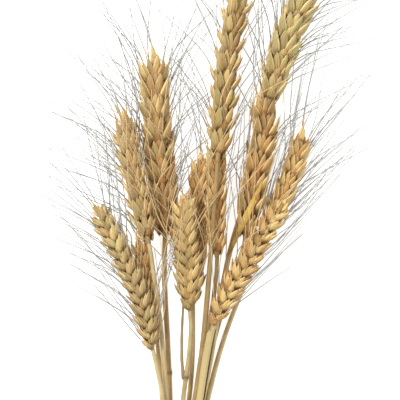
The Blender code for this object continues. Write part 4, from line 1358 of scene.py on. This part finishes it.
def make_stage(settings):
    """A white floor, a soft key light at the upper left, white surroundings and the camera."""
    deselect()
    bpy.ops.mesh.primitive_plane_add(size=8, location=(0, 0, 0))
    floor = bpy.context.object
    floor.name = "floor"
    finish = Nodes("white_floor", roughness=0.9, specular=0.1)
    finish.shader.inputs["Base Color"].default_value = (0.6, 0.6, 0.6, 1)
    finish.shader.inputs["Emission Color"].default_value = (1, 1, 1, 1)
    finish.shader.inputs["Emission Strength"].default_value = 0.8
    floor.data.materials.append(finish.made)
    bpy.ops.object.light_add(type="AREA", location=KEY_PLACE)
    key = bpy.context.object
    key.name = "key_light"
    key.data.shape = "DISK"
    key.data.size = 0.55
    key.data.energy = settings.key
    key.rotation_euler = (-key.location).to_track_quat("-Z", "Y").to_euler()
    world = bpy.data.worlds.new("white_surroundings")
    world.use_nodes = True
    sky = world.node_tree.nodes["Background"]
    sky.inputs["Color"].default_value = (1, 1, 1, 1)
    sky.inputs["Strength"].default_value = settings.fill
    bpy.context.scene.world = world
    bpy.ops.object.camera_add(location=(*VIEW_MIDDLE, CAMERA_HEIGHT + EAR_LEVEL),
                              rotation=(0, 0, 0))
    camera = bpy.context.object
    camera.name = "camera"
    camera.data.sensor_width = SENSOR_WIDTH
    camera.data.lens = SENSOR_WIDTH * CAMERA_HEIGHT / settings.span
    bpy.context.scene.camera = camera
    bpy.context.scene.view_settings.view_transform = "Standard"


class WHEAT_OT_add_husks(bpy.types.Operator):
    """Add the rachis and husks of every ear"""

    bl_idname = "wheat.add_husks"
    bl_label = "Add husks"

    def execute(self, context):
        make_husks(context.scene.wheat_husks)
        return {"FINISHED"}


class WHEAT_OT_add_awns(bpy.types.Operator):
    """Add the awns of every ear"""

    bl_idname = "wheat.add_awns"
    bl_label = "Add awns"

    def execute(self, context):
        scene = context.scene
        make_awns(scene.wheat_awns, scene.wheat_husks, scene.wheat_straws)
        return {"FINISHED"}


class WHEAT_OT_add_straws(bpy.types.Operator):
    """Add every straw, with its knots and its hollow cut end"""

    bl_idname = "wheat.add_straws"
    bl_label = "Add straws"

    def execute(self, context):
        make_straws(context.scene.wheat_straws)
        return {"FINISHED"}


class WHEAT_OT_add_leaves(bpy.types.Operator):
    """Add the flat leaf, the rolled leaf and the dry sheath"""

    bl_idname = "wheat.add_leaves"
    bl_label = "Add leaves"

    def execute(self, context):
        make_leaves(context.scene.wheat_straws)
        return {"FINISHED"}


class WHEAT_OT_add_twine(bpy.types.Operator):
    """Add the twine round the straws"""

    bl_idname = "wheat.add_twine"
    bl_label = "Add twine"

    def execute(self, context):
        make_twine(context.scene.wheat_twine)
        return {"FINISHED"}


class WHEAT_OT_set_stage(bpy.types.Operator):
    """Set up the floor, the light and the camera"""

    bl_idname = "wheat.set_stage"
    bl_label = "Set stage"

    def execute(self, context):
        make_stage(context.scene.wheat_stage)
        return {"FINISHED"}


OPERATORS = (WHEAT_OT_add_husks, WHEAT_OT_add_awns, WHEAT_OT_add_straws, WHEAT_OT_add_leaves,
             WHEAT_OT_add_twine, WHEAT_OT_set_stage)
SETTINGS = {
    "wheat_husks": HuskSettings,
    "wheat_awns": AwnSettings,
    "wheat_straws": StrawSettings,
    "wheat_twine": TwineSettings,
    "wheat_stage": StageSettings,
}


class WHEAT_PT_panel(bpy.types.Panel):
    """Steps and settings of the wheat bunch"""

    bl_idname = "WHEAT_PT_panel"
    bl_label = "Dried Wheat Bunch"
    bl_space_type = "VIEW_3D"
    bl_region_type = "UI"
    bl_category = "Wheat"

    def draw(self, context):
        for operator in OPERATORS:
            self.layout.operator(operator.bl_idname)
        for key, group in SETTINGS.items():
            box = self.layout.box()
            for name in group.__annotations__:
                box.prop(getattr(context.scene, key), name)


def register():
    for group in SETTINGS.values():
        bpy.utils.register_class(group)
    for key, group in SETTINGS.items():
        setattr(bpy.types.Scene, key, PointerProperty(type=group))
    for operator in OPERATORS:
        bpy.utils.register_class(operator)
    bpy.utils.register_class(WHEAT_PT_panel)


def unregister():
    bpy.utils.unregister_class(WHEAT_PT_panel)
    for operator in reversed(OPERATORS):
        bpy.utils.unregister_class(operator)
    for key in SETTINGS:
        delattr(bpy.types.Scene, key)
    for group in SETTINGS.values():
        bpy.utils.unregister_class(group)


def main():
    register()
    bpy.ops.wheat.add_husks()
    bpy.ops.wheat.add_awns()
    bpy.ops.wheat.add_straws()
    bpy.ops.wheat.add_leaves()
    bpy.ops.wheat.add_twine()
    bpy.ops.wheat.set_stage()


if __name__ == "__main__":
    main()
